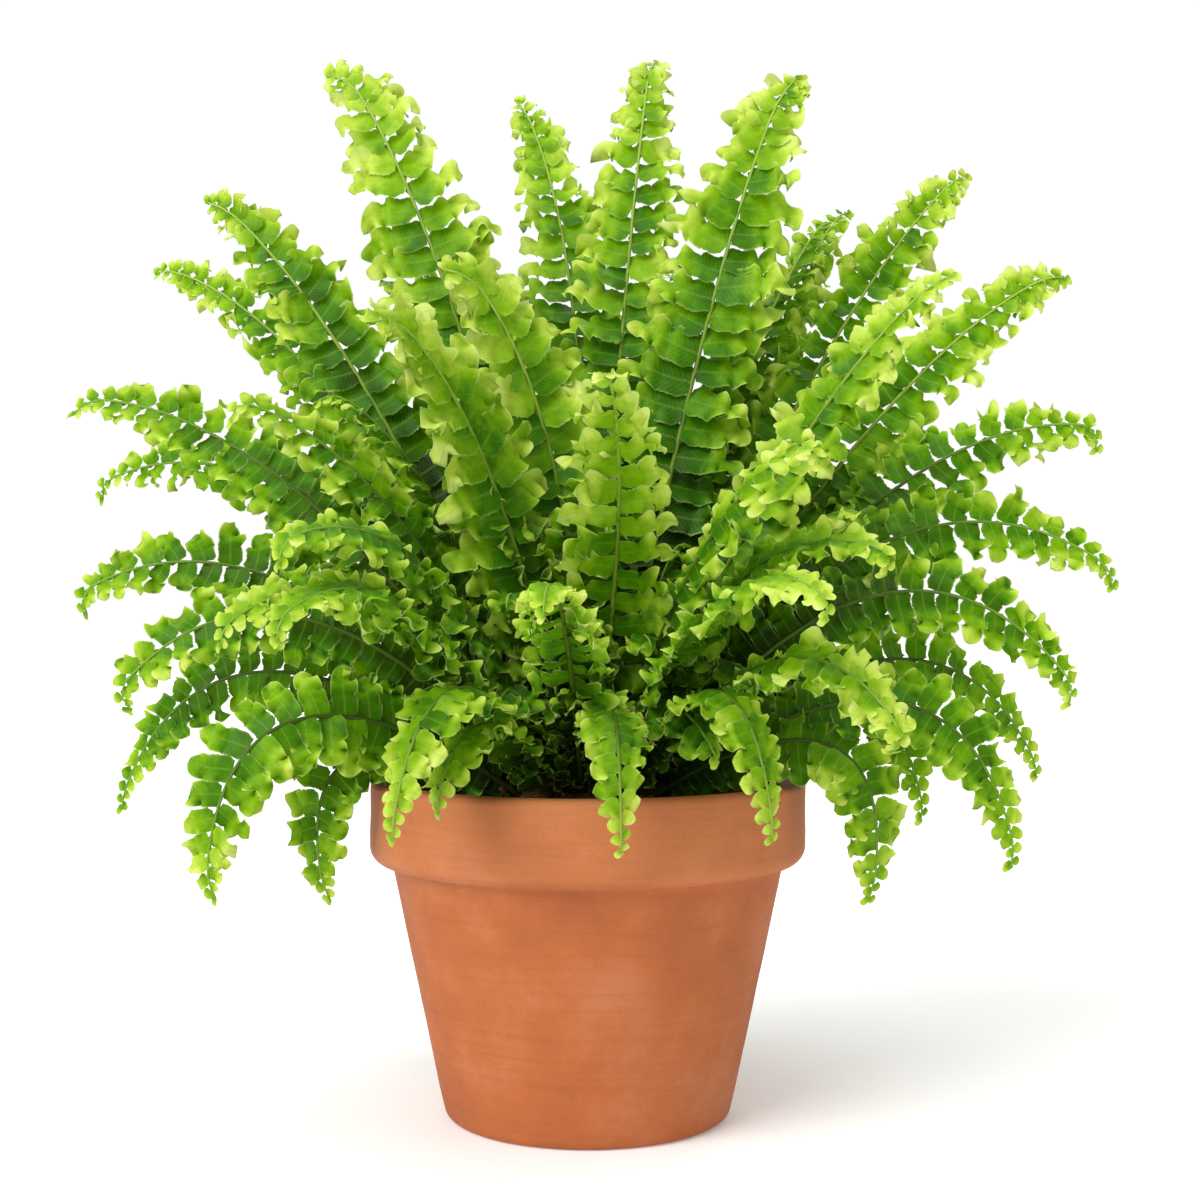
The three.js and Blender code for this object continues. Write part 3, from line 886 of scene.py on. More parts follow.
class MeshParts:
    """Collects bent copies of modelled parts and joins them to one mesh."""

    def __init__(self) -> None:
        """Starts empty."""
        self.points: list[np.ndarray] = []
        self.faces: list[np.ndarray] = []
        self.uvs: list[np.ndarray] = []
        self.slots: list[np.ndarray] = []
        self.tones: list[np.ndarray] = []
        self.count = 0

    def add(self, part: Part, slot: int = 0, tones: np.ndarray | float = 0.0) -> None:
        """Adds one part, or several of the same kind.

        Args:
            part: its points and faces.
            slot: number of its material.
            tones: a tone for all of it or for each point.
        """
        for faces in part.faces:
            self.faces.append(faces + self.count)
            self.uvs.append(part.uv[faces].reshape(-1, 2))
            self.slots.append(np.full(len(faces), slot))
        self.points.append(part.points)
        self.tones.append(np.broadcast_to(tones, (len(part.points),)))
        self.count += len(part.points)

    def make(self, name: str, materials: list[bpy.types.Material]) -> bpy.types.Object:
        """Joins all parts.

        Args:
            name: of the new object.
            materials: in the order of the parts' slot numbers.

        Returns:
            The object, smooth, at the origin.
        """
        mesh = bpy.data.meshes.new(name)
        corners = [face for part in self.faces for face in part.tolist()]
        mesh.from_pydata((np.vstack(self.points) * MM).tolist(), [], corners)
        layer = mesh.uv_layers.new(name=LEAFLET_MAP)
        layer.data.foreach_set("uv", np.vstack(self.uvs).astype(np.float32).ravel())
        tone = mesh.attributes.new(TONE, "FLOAT", "POINT")
        tone.data.foreach_set("value", np.concatenate(self.tones).astype(np.float32))
        mesh.polygons.foreach_set("material_index", np.concatenate(self.slots))
        mesh.polygons.foreach_set("use_smooth", np.ones(len(mesh.polygons), bool))
        for material in materials:
            mesh.materials.append(material)
        mesh.update()
        piece = bpy.data.objects.new(name, mesh)
        bpy.context.scene.collection.objects.link(piece)
        return piece


def sleeve(path: np.ndarray, across: np.ndarray, out: np.ndarray, radii: np.ndarray, sides: int) -> Part:
    """Draws a round rod along a path, closed at both ends.

    Args:
        path: its middle points.
        across: a direction across the path at each point.
        out: the other direction across it.
        radii: its radius at each point.
        sides: points in each ring.

    Returns:
        The rod, with u from 0 at the start to 1 at the end.
    """
    count = len(path)
    angle = np.arange(sides) / sides * math.tau
    ring = across[:, None] * np.cos(angle)[None, :, None] + out[:, None] * np.sin(angle)[None, :, None]
    points = (path[:, None] + ring * radii[:, None, None]).reshape(-1, 3)
    points = np.vstack([points, path[:1], path[-1:]])
    row, col = np.meshgrid(np.arange(count - 1), np.arange(sides), indexing="ij")
    a = (row * sides + col).ravel()
    b = (row * sides + (col + 1) % sides).ravel()
    walls = np.stack([a, b, b + sides, a + sides], axis=1)
    col = np.arange(sides)
    nxt = (col + 1) % sides
    start = np.stack([nxt, col, np.full(sides, count * sides)], axis=1)
    last = (count - 1) * sides
    end = np.stack([last + col, last + nxt, np.full(sides, count * sides + 1)], axis=1)
    u = np.concatenate([np.repeat(np.linspace(0, 1, count), sides), [0.0, 1.0]])
    v = np.concatenate([np.tile(angle / math.tau, count), [0.5, 0.5]])
    return Part(points, np.stack([u, v], axis=1), [walls, np.vstack([start, end])])


# ---------------------------------------------------------------- crown


@dataclass
class Crown:
    """The knot of rhizome that the fronds rise from, with stubs of old stalks and a few young croziers."""

    edge: Point = (44.0, 143.0)
    shoulder: Point = (33.0, 149.6)
    crest: Point = (15.0, 153.0)
    plug: Point = (27.0, 122.0)
    sides: int = 96
    lumps: float = 1.3
    stubs: int = 64
    stub_height: Point = (4.0, 13.0)
    stub_reach: float = 42.0
    stub_depth: float = 3.0
    croziers: int = 7
    crozier_depth: float = 4.0
    crozier_turns: float = 2.2
    seed: int = 77

    def build(self) -> None:
        """Makes the mound, the stubs and the croziers."""
        bark = ScalyRhizome().material()
        self.make_mound(bark)
        self.make_stubs(bark)
        self.make_croziers()

    def surface(self, radius: np.ndarray) -> np.ndarray:
        """The mound's height.

        Args:
            radius: distance from its middle.

        Returns:
            The height there.
        """
        radii = [0.0, self.crest[0], self.shoulder[0], self.edge[0]]
        heights = [self.crest[1], self.crest[1], self.shoulder[1], self.edge[1]]
        return np.interp(radius, radii, heights)

    def footing(self, reach: float, turn: float, depth: float) -> tuple[np.ndarray, np.ndarray]:
        """Finds a place to stand something in the mound.

        Args:
            reach: its distance from the middle.
            turn: its direction.
            depth: how far under the surface it is.

        Returns:
            The way out from the middle, and the place.
        """
        out = np.array([math.cos(turn), math.sin(turn), 0.0])
        return out, out * reach + UP * (float(self.surface(np.array(reach))) - depth)

    def make_mound(self, bark: bpy.types.Material) -> None:
        """Turns the mound and makes it knobbly.

        Args:
            bark: its finish.
        """
        profile = [self.plug, self.edge]
        for radius in (41, 37, 33, 29, 25, 21, 18, 15, 12, 9, 6, 3):
            profile.append((float(radius), float(self.surface(np.array(radius)))))
        mound = turned_body(profile, self.sides)
        points = read_points(mound)
        radius = np.hypot(points[:, 0], points[:, 1])
        on_top = points[:, 2] > self.edge[1] - 1
        knobs = self.lumps * (rough(points, 6.0, 2.0) + 0.6 * rough(points, 2.5, 7.0))
        points[on_top, 2] += (knobs * smoothstep(0, 4, self.edge[0] - radius))[on_top]
        write_points(mound, points)
        mound.data.materials.append(bark)
        settle(mound, "fern_crown", ("crown",))

    def make_stubs(self, bark: bpy.types.Material) -> None:
        """Stands the cut and withered bases of old stalks between the fronds.

        Args:
            bark: their finish.
        """
        rng = np.random.default_rng(self.seed)
        rings = 6
        parts = MeshParts()
        for _ in range(self.stubs):
            reach = self.stub_reach * math.sqrt(rng.uniform(0.05, 1))
            out, foot = self.footing(reach, rng.uniform(0, math.tau), self.stub_depth)
            lean = unit(UP + out * (0.2 + reach / self.stub_reach) + rng.normal(0, 0.2, 3))
            tall = rng.uniform(*self.stub_height) + self.stub_depth
            share = np.linspace(0, 1, rings)[:, None]
            path = foot + lean * share * tall + out * 1.5 * share**2
            side = unit(np.cross(lean, UP + 0.01))
            radii = rng.uniform(1.0, 2.1) * (1.15 - 0.5 * share[:, 0]) * rng.uniform(0.85, 1.1, rings)
            ring = np.repeat(side[None], rings, axis=0)
            over = np.repeat(np.cross(lean, side)[None], rings, axis=0)
            parts.add(sleeve(path, ring, over, radii, 7))
        settle(parts.make("old_stalk_stubs", [bark]), "old_stalk_stubs")

    def make_croziers(self) -> None:
        """Adds young fronds that are still rolled up."""
        rng = np.random.default_rng(self.seed + 1)
        parts = MeshParts()
        for i in range(self.croziers):
            reach = rng.uniform(12, 34)
            turn = math.tau * i / self.croziers + rng.uniform(-0.3, 0.3)
            out, foot = self.footing(reach, turn, self.crozier_depth)
            tall = rng.uniform(26, 46)
            roll = rng.uniform(4.5, 6.5)
            rise = np.linspace(0, 1, 12)[:, None]
            stem = foot + UP * rise * tall + out * 5 * rise**2
            whole = self.crozier_turns * math.tau
            angle = np.linspace(0, whole, 44)[1:, None]
            shrink = roll * (1 - angle / whole * 0.86)
            centre = stem[-1] - out * roll
            coil = centre + (out * np.cos(angle) + UP * np.sin(angle)) * shrink
            path = np.vstack([stem, coil])
            side = np.repeat(np.cross(out, UP)[None], len(path), axis=0)
            over = np.cross(unit(np.gradient(path, axis=0)), side)
            parts.add(sleeve(path, side, over, 1.5 - 0.75 * np.linspace(0, 1, len(path)), 8))
        young = FernStalk(foot="#6e5a2a").material()
        settle(parts.make("young_croziers", [young]), "young_croziers")


# ---------------------------------------------------------------- fronds


# Heights of a frond's tip, in millimetres, from which it stands upright or arches over.
UPRIGHT_FROM = 340.0
ARCHING_FROM = 170.0


class Habit(Enum):
    """How a frond carries its leaflets."""

    UPRIGHT = "upright"
    ARCHING = "arching"
    TRAILING = "trailing"


@dataclass(frozen=True)
class Carriage:
    """The set of a frond's leaflets, in degrees unless it says otherwise."""

    droop: float
    roll: float
    curl: float
    hook: float
    back: float  # share of the leaflets that hook back towards the frond's foot
    crook: float  # how far the frond's own tip bends over
    crimp: float  # height of the ruffles, share of the leaflet's half width
    spacing: Point  # from one leaflet to the next in the middle, and what each mm of half width adds
    twist: float  # how far the ends turn about their ribs
    fill: float  # width of a leaflet, share of the distance to the next one
    waist: float  # width in the middle, share of the width at the root
    end: float  # width near the end, share of the width at the root
    taper: float  # how soon the blade narrows to the frond's tip: low is late
    rounding: float  # length of a leaflet's round end, 1 for a half circle
    lobed: float  # how deeply the end is lobed and pleated
    even: float  # how much of the painted light towards a leaflet's end is taken back
    sunned: float  # colour of the stalk, from painted shade, deep green (0), to painted light, olive yellow (1)
    shaded: Point  # share of the stalk over which leaflets pass from the painted shade, deep green, inside the clump to their own tone


CARRIAGES: dict[Habit, Carriage] = {
    Habit.UPRIGHT: Carriage(
        droop=6, roll=-15, curl=54, hook=96, back=0.86, crook=36, crimp=0.64, spacing=(9.4, 0.13), twist=30,
        fill=1.25, waist=0.98, end=0.57, taper=0.56, rounding=1.7, lobed=1.15, even=0.0, sunned=1.0,
        shaded=(0.14, 0.62),
    ),
    Habit.ARCHING: Carriage(
        droop=12, roll=-12, curl=62, hook=54, back=0.84, crook=92, crimp=0.78, spacing=(8.0, 0.17),
        twist=40, fill=0.98, waist=0.97, end=0.94, taper=0.7, rounding=1.2, lobed=1.1, even=0.14,
        sunned=0.3, shaded=(0.14, 0.72),
    ),
    Habit.TRAILING: Carriage(
        droop=8, roll=-8, curl=38, hook=32, back=0.8, crook=24, crimp=0.66, spacing=(6.8, 0.2), twist=26,
        fill=1.06, waist=1.02, end=0.92, taper=0.8, rounding=1.05, lobed=0.7, even=0.26, sunned=0.15,
        shaded=(0.1, 0.5),
    ),
}


@dataclass
class Frond:
    """One frond: where its tip is, how it bows, how wide its blade is and how its face is turned."""

    x: float
    y: float
    z: float
    bow: float
    sway: float
    half: float
    turn: float
    tone: float
    seat: np.ndarray = field(default_factory=lambda: np.zeros(3))

    @property
    def tip(self) -> np.ndarray:
        """The tip's place."""
        return np.array([self.x, self.y, self.z], float)

    @property
    def habit(self) -> Habit:
        """Its habit, by how high its tip stands."""
        low = Habit.ARCHING if self.z > ARCHING_FROM else Habit.TRAILING
        return Habit.UPRIGHT if self.z > UPRIGHT_FROM else low

    @property
    def across(self) -> np.ndarray:
        """The level direction across the frond."""
        return unit(np.array([-self.y, self.x, 0.0]))


# The fronds of the outline and of the front, from the left round to the right:
# tip x, y, z, bow, sway, blade's half width, turn of the face to the front, and tone from deep (0) to
# yellow-green (1).
PLACED_FRONDS = (
    (-125, 60, 503, 18, 0, 34, 0.9, 0.65),
    (-39, 140, 507, 10, -16, 27, 0.8, 0.58),
    (32, 85, 515, 8, 0, 28, 0.8, 0.58),
    (99, 50, 495, 10, 0, 36, 0.9, 0.58),
    (138, 140, 448, 14, 0, 20, 0.8, 0.46),
    (193, 95, 457, 16, 0, 24, 0.85, 0.54),
    (236, 60, 400, 22, 0, 25, 0.8, 0.55),
    (155, -72, 377, 15, 0, 21, 0.6, 0.66),
    (-60, -38, 388, 24, 0, 29, 0.85, 0.66),
    (-87, -95, 359, 24, 0, 31, 0.6, 0.66),
    (6, -125, 334, 14, 10, 24, 0.3, 0.80),
    (-184, 45, 433, 17, 0, 28, 0.85, 0.44),
    (-222, 95, 407, 32, 0, 20, 0.8, 0.48),
    (-155, -75, 322, 26, 0, 18, 0.6, 0.55),
    (-241, 0, 329, 34, 0, 22, 0.7, 0.44),
    (-251, 75, 292, 54, 0, 18, 0.7, 0.4),
    (-236, -22, 235, 46, 0, 20, 0.7, 0.34),
    (-207, -62, 191, 54, 0, 19, 0.7, 0.44),
    (-221, 15, 139, 60, 0, 19, 0.65, 0.32),
    (-162, -72, 109, 62, 0, 23, 0.65, 0.5),
    (-115, -42, 104, 50, 0, 19, 0.6, 0.46),
    (-122, -150, 256, 40, 0, 21, 0.42, 0.52),
    (-152, -112, 221, 44, 0, 18, 0.5, 0.54),
    (-120, -165, 225, 40, 0, 20, 0.4, 0.46),
    (-76, -140, 143, 54, 0, 17, 0.15, 0.6),
    (-61, -115, 151, 34, 0, 16, 0, 0.56),
    (14, -135, 137, 48, 0, 14, 0, 0.58),
    (75, -122, 141, 54, 0, 16, 0.15, 0.58),
    (124, -52, 106, 54, 0, 19, 0.6, 0.5),
    (151, -30, 138, 56, 0, 15, 0.65, 0.43),
    (185, -62, 122, 60, 0, 18, 0.7, 0.47),
    (220, 45, 151, 58, 0, 18, 0.7, 0.48),
    (219, -42, 192, 64, 0, 20, 0.7, 0.44),
    (243, -20, 246, 58, 0, 21, 0.7, 0.44),
    (252, 30, 318, 40, 0, 24, 0.7, 0.45),
    (127, -142, 176, 46, 0, 18, 0.42, 0.62),
    (94, -170, 234, 36, 0, 18, 0.38, 0.62),
    (127, -120, 252, 40, 0, 17, 0.5, 0.5),
    (94, -130, 300, 24, 0, 23, 0.5, 0.6),
    (191, 95, 211, 44, 0, 15, 0.5, 0.14),
    (-15, -203, 235, 30, 0, 18, 0, 0.56),
)


@dataclass(frozen=True)
class BackTier:
    """A tier of evenly spread fronds at the back: azimuths in degrees, the rest in millimetres."""

    count: int
    start: float
    end: float
    reach: float
    tip: float
    bow: float
    half: float
    tone: float


BACK_TIERS = (
    BackTier(4, 48, 132, 165, 424, 16, 26, 0.46),
    BackTier(6, 26, 154, 206, 300, 40, 22, 0.44),
    BackTier(6, 34, 146, 176, 150, 56, 20, 0.4),
)


@dataclass(frozen=True)
class InnerTier:
    """Short fronds low in the clump, spread evenly round: sizes in millimetres."""

    count: int
    turn: float
    reach: float
    tip: float
    bow: float
    half: float
    tone: float


INNER_TIERS = (
    InnerTier(13, 0.0, 96, 186, 30, 19, 0.37),
    InnerTier(11, 0.3, 74, 232, 20, 19, 0.32),
    InnerTier(7, 0.1, 44, 282, 10, 18, 0.28),
)

# Fronds inside the clump that face its two sides and fill it there, given as PLACED_FRONDS are.
SIDE_FRONDS = (
    (-78, 2, 368, 16, 5, 24, 0, 0.4),
    (-122, -24, 334, 22, -6, 23, 0, 0.4),
    (-148, 22, 296, 30, 4, 22, 0, 0.38),
    (-98, 52, 398, 16, 0, 25, 0, 0.42),
    (-64, -46, 318, 16, -4, 22, 0, 0.36),
    (-140, 66, 262, 36, 0, 21, 0, 0.36),
    (84, 66, 398, 14, 0, 24, 0, 0.42),
    (134, 6, 346, 22, -5, 24, 0, 0.4),
    (100, -22, 318, 20, 4, 22, 0, 0.38),
    (152, 34, 292, 30, 0, 22, 0, 0.38),
    (128, -52, 276, 28, 5, 21, 0, 0.36),
    (142, 72, 256, 36, 0, 21, 0, 0.36),
)


@dataclass
class Stalk:
    """A frond's stalk: evenly spaced points, and at each its direction and two across it."""

    points: np.ndarray
    along: np.ndarray
    side: np.ndarray  # across the blade
    face: np.ndarray  # out of the blade's face


@dataclass
class FernStand:
    """All fronds: their places on the crown, and their stalks and leaflets."""

    pot: Pot
    crown: Crown
    seat_radius: float = 37.0
    seat_spacing: float = 8.4
    inner_seat: float = 0.5  # seats of the short fronds at most, share of their reach
    side_seat: float = 0.62  # seats of the fronds that face the sides, share of seat_radius
    outer_lean: float = 75.0
    rounds: int = 160
    push: float = 0.25
    jitter: tuple[float, float, float, float] = (5, 8, 16, 12)  # azimuth, reach, tip, sway
    rise: Point = (0.36, 1.05)
    droop: Point = (0.8, 1.6)
    curve_points: int = 401
    foot_depth: float = 9.0
    bare: float = 0.13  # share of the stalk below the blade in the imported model
    first_leaflet: float = 0.06
    last_leaflet: float = 0.995
    stalk_radius: Point = (1.7, 0.5)
    stalk_rings: int = 40
    stalk_sides: int = 8
    tip_pitch: float = 3.9  # from one leaflet to the next at the tip
    stagger: float = 0.42  # how much later one side's leaflets stand, share of the distance
    length_spread: Point = (0.88, 1.14)
    shortest: float = 0.19  # length of the last leaflets, share of the longest
    lowest: float = 0.62  # length of the first ones
    crook_reach: float = 0.75  # length of the bent tip, share of the blade's half width
    leaflet_rows: int = 26
    leaflet_columns: int = 3
    grown_size: Point = (3.0, 13.0)  # lengths between which leaflets turn from regular to ruffled
    row_crowding: float = 1.15
    column_crowding: float = 0.8
    eased_from: float = 0.66  # where the smoothing of a leaflet's outline starts, share of its length
    easings: int = 4  # how often it is smoothed
    lobe: float = 0.18  # how far a lobe stands out, share of the half width
    finger: float = 0.2  # the same of the small lobes round the end
    tooth: float = 0.03  # the same of the fine teeth
    pleat: float = 0.32  # height of the end's pleats, share of the half width
    notch: float = 0.32  # depth of the end's notches, share of the end's half width
    pot_gap: float = 0.8  # how far the leaflets stay from the pot
    inside_shade: float = 0.45  # painted shade: how much deeper the tone is inside the clump
    tip_light: float = 0.32  # how much lighter it is at the frond's tip
    crest_painted_light: float = 0.55  # painted light: how much lighter the crest of a ruffle is
    side_droop: float = 18.0  # how much lower the leaflets hang where the blade lies level, in degrees
    scales: int = 16  # chaffy scales at the foot of each stalk
    scale_length: Point = (2.5, 6.0)
    scaly_run: float = 34.0
    back_seed: int = 29
    seed: int = 2024
    fronds: list[Frond] = field(default_factory=list)
    inner: list[Frond] = field(default_factory=list)

    def plan(self) -> None:
        """Lists every frond and gives each its seat on the crown."""
        self.fronds = [Frond(*row) for row in PLACED_FRONDS]
        state = self.back_seed

        def spread(amount: float) -> float:
            """Draws the next seeded number.

            Args:
                amount: its largest size.

            Returns:
                A number from -amount to amount.
            """
            nonlocal state
            state = (state * DRAW_FACTOR) % DRAW_MODULUS
            return amount * (2 * state / DRAW_MODULUS - 1)

        azimuth_jitter, reach_jitter, tip_jitter, sway_jitter = self.jitter
        for tier in BACK_TIERS:
            for i in range(tier.count):
                even = lerp(tier.start, tier.end, i / (tier.count - 1))
                azimuth = math.radians(even + spread(azimuth_jitter))
                reach = tier.reach + spread(reach_jitter)
                height = tier.tip + spread(tip_jitter)
                sway = spread(sway_jitter)
                x, y = reach * math.cos(azimuth), reach * math.sin(azimuth)
                tone = tier.tone + 0.12 * math.sin(3.7 * i + tier.tip)
                self.fronds.append(Frond(x, y, height, tier.bow, sway, tier.half, 0, tone))
        self.seat_all()
        self.plan_inner()

    def plan_inner(self) -> None:
        """Lists the short fronds that fill the clump, each on the crown in its own direction."""
        rng = np.random.default_rng(self.seed)
        for tier in INNER_TIERS:
            for i in range(tier.count):
                azimuth = math.tau * (i + tier.turn) / tier.count + rng.uniform(-0.15, 0.15)
                reach = tier.reach * rng.uniform(0.85, 1.12)
                x, y = reach * math.cos(azimuth), reach * math.sin(azimuth)
                height = tier.tip + rng.uniform(-18, 18)
                tone = tier.tone + rng.uniform(-0.1, 0.14)
                sway = rng.uniform(-8, 8)
                short = Frond(x, y, height, tier.bow, sway, tier.half, 0, tone)
                radius = rng.uniform(0.5, 1.0) * min(self.seat_radius, self.inner_seat * reach)
                short.seat = np.array([x / reach * radius, y / reach * radius, self.crown.surface(radius)])
                self.inner.append(short)
        for row in SIDE_FRONDS:
            side = Frond(*row)
            way = side.tip[:2] / math.hypot(side.x, side.y)
            radius = self.side_seat * self.seat_radius
            side.seat = np.array([*way * radius, self.crown.surface(radius)])
            self.inner.append(side)

    def seat_all(self) -> None:
        """Seats upright fronds inside and low ones outside, pushed evenly apart."""
        for frond in self.fronds:
            reach = math.hypot(frond.x, frond.y)
            lean = math.atan2(reach, frond.z + 2 * frond.bow - self.crown.crest[1])
            radius = self.seat_radius * min(1, lean / math.radians(self.outer_lean))
            frond.seat = np.array([frond.x / reach * radius, frond.y / reach * radius, 0.0])
        for _ in range(self.rounds):
            for a in self.fronds:
                for b in self.fronds:
                    apart = a.seat[:2] - b.seat[:2]
                    distance = math.hypot(*apart)
                    if a is b or distance >= self.seat_spacing:
                        continue
                    a.seat[:2] += apart * (self.push * (self.seat_spacing - distance)) / distance
                out = math.hypot(a.seat[0], a.seat[1])
                if out > self.seat_radius:
                    a.seat[:2] *= self.seat_radius / out
        for frond in self.fronds:
            frond.seat[2] = self.crown.surface(math.hypot(frond.seat[0], frond.seat[1]))

    def curve(self, frond: Frond) -> np.ndarray:
        """The stalk's curve: it rises from its seat, bows over and droops to its tip.

        Args:
            frond: the frond.

        Returns:
            Points evenly spaced along it.
        """
        chord = unit(frond.tip - frond.seat)
        over = unit(UP - chord * chord[2])
        pulls = [
            frond.seat
            + (frond.tip - frond.seat) * share
            + over * bow_share * frond.bow
            + frond.across * bow_share * frond.sway
            for share, bow_share in (self.rise, self.droop)
        ]
        t = np.linspace(0, 1, self.curve_points)[:, None]
        corners = (frond.seat, *pulls, frond.tip)
        raw = sum(math.comb(3, i) * (1 - t) ** (3 - i) * t**i * corner for i, corner in enumerate(corners))
        steps = np.linalg.norm(np.diff(raw, axis=0), axis=1)
        run = np.concatenate([[0], np.cumsum(steps)])
        even = np.linspace(0, run[-1], self.curve_points)
        points = np.stack([np.interp(even, run, raw[:, k]) for k in range(3)], axis=1)
        return self.crook(frond, points, np.cross(over, chord))

    def crook(self, frond: Frond, points: np.ndarray, axis: np.ndarray) -> np.ndarray:
        """Bends the last of a stalk over, as the tip of a growing frond is.

        Args:
            frond: the frond.
            points: evenly spaced points of its stalk.
            axis: what the tip turns about.

        Returns:
            The points of the bent stalk.
        """
        steps = np.diff(points, axis=0)
        to_tip = np.cumsum(np.linalg.norm(steps, axis=1)[::-1])[::-1]
        bent = np.clip(1 - to_tip / (self.crook_reach * frond.half), 0, 1)
        most = math.radians(CARRIAGES[frond.habit].crook) * (0.9 + 0.35 * math.sin(frond.x))
        angle = (most * bent)[:, None]
        turned = steps * np.cos(angle) + np.cross(axis, steps) * np.sin(angle)
        turned += axis * (steps @ axis)[:, None] * (1 - np.cos(angle))
        return np.vstack([points[:1], points[0] + np.cumsum(turned, axis=0)])

    def stalk(self, frond: Frond) -> Stalk:
        """Sets the blade's directions along a frond's curve.

        Args:
            frond: the frond.

        Returns:
            Its stalk.
        """
        points = self.curve(frond)
        along = unit(np.gradient(points, axis=0))
        flat = unit(np.cross(along, frond.across))
        face = flat * (1 - frond.turn) + FRONT * frond.turn
        face = unit(face - along * np.sum(face * along, axis=1, keepdims=True))
        return Stalk(points, along, unit(np.cross(along, face)), face)

    def build(self) -> None:
        """Models one leaflet flat, then grows every frond from bent copies of it."""
        leaflet = self.flat_leaflet()
        materials = [FernBlade().material(), FernStalk().material()]
        for number, frond in enumerate(self.fronds, start=1):
            name = f"fern_frond_{number:02d}"
            piece = self.grow(frond, name, leaflet, materials, self.seed + number)
            settle(piece, name, (f"frond_{number:02d}",))
        for number, frond in enumerate(self.inner, start=1):
            name = f"inner_frond_{number:02d}"
            piece = self.grow(frond, name, leaflet, materials, self.seed + 100 + number)
            settle(piece, name)
        self.make_scales()

    def grow(
        self, frond: Frond, name: str, leaflet: Shape, materials: list[bpy.types.Material], seed: int
    ) -> bpy.types.Object:
        """Makes one frond.

        Args:
            frond: the frond.
            name: of its object.
            leaflet: the flat leaflet.
            materials: of its leaflets and its stalk.
            seed: of its own random numbers.

        Returns:
            Its object.
        """
        parts = MeshParts()
        stalk = self.stalk(frond)
        self.add_stalk(parts, frond, stalk)
        self.add_leaflets(parts, frond, leaflet, stalk, np.random.default_rng(seed))
        return parts.make(name, materials)

    def flat_leaflet(self) -> Shape:
        """Models the leaflet as a flat grid, 0 to 1 along its rib and -1 to 1 across.

        Returns:
            Its points, and its faces' corners.
        """
        bpy.ops.object.select_all(action="DESELECT")
        bpy.ops.mesh.primitive_grid_add(
            x_subdivisions=self.leaflet_rows, y_subdivisions=self.leaflet_columns, size=2 * MM
        )
        points, faces = take_shape(bpy.context.object)
        # Rows come closer towards the end and columns towards the edges, where the ruffles are.
        points[:, 0] = 1 - np.clip((1 - points[:, 0]) / 2, 0, 1) ** self.row_crowding
        points[:, 1] = np.sign(points[:, 1]) * np.abs(points[:, 1]) ** self.column_crowding
        return points, faces

    def add_stalk(self, parts: MeshParts, frond: Frond, stalk: Stalk) -> None:
        """Adds the tapered stalk, from its foot in the crown to the tip.

        Args:
            parts: what it is added to.
            frond: the frond.
            stalk: its curve.
        """
        last = len(stalk.points) - 1
        pick = np.linspace(0, last, self.stalk_rings).round().astype(int)
        foot = stalk.points[0] - stalk.along[0] * self.foot_depth
        share = np.concatenate([[0.0], pick / last])
        stout = lerp(0.72, 1.0, min(1.0, frond.half / 30))
        radii = (self.stalk_radius[0] + (self.stalk_radius[1] - self.stalk_radius[0]) * share) * stout
        path = np.vstack([foot, stalk.points[pick]])
        turn = np.concatenate([[0], pick])
        rod = sleeve(path, stalk.side[turn], -stalk.face[turn], radii, self.stalk_sides)
        # Painted light on the stalk: how far it shows its lit colour rather than its shaded one.
        stalk_light_share = max(CARRIAGES[frond.habit].sunned, float(smoothstep(0.45, 0.8, np.array(frond.tone))))
        parts.add(rod, 1, stalk_light_share)

    def make_scales(self) -> None:
        """Clothes the feet of all stalks in thin rusty scales, folded along their middles."""
        rng = np.random.default_rng(self.seed + 7)
        parts = MeshParts()
        count = self.scales
        for frond in self.fronds + self.inner:
            stalk = self.stalk(frond)
            run = np.cumsum(np.linalg.norm(np.diff(stalk.points, axis=0), axis=1))
            spot = np.searchsorted(run, self.scaly_run * rng.uniform(0, 1, count) ** 1.6)
            turn = rng.uniform(0, math.tau, count)[:, None]
            along = stalk.along[spot]
            out = stalk.side[spot] * np.cos(turn) + stalk.face[spot] * np.sin(turn)
            across = np.cross(along, out)
            root = stalk.points[spot] + out * 0.8 * self.stalk_radius[0]
            size = rng.uniform(*self.scale_length, count)[:, None]
            lean = unit(along + out * rng.uniform(0.3, 1.3, (count, 1)))
            wide = across * size * 0.14
            fold = out * size * 0.05
            middle = root + lean * size * 0.35
            tip = root + unit(lean + out * 0.5) * size
            corners = np.stack([root, middle + wide - fold, tip, middle - wide - fold], axis=1)
            start = (np.arange(count) * 4)[:, None]
            faces = np.vstack([start + [0, 1, 2], start + [0, 2, 3]])
            parts.add(Part(corners.reshape(-1, 3), np.zeros((4 * count, 2)), [faces]))
        rusty = ScalyRhizome("chaffy_scales", "#4a2a12", "#80522a", "#b08a4c")
        settle(parts.make("chaffy_scales", [rusty.material()]), "chaffy_scales")

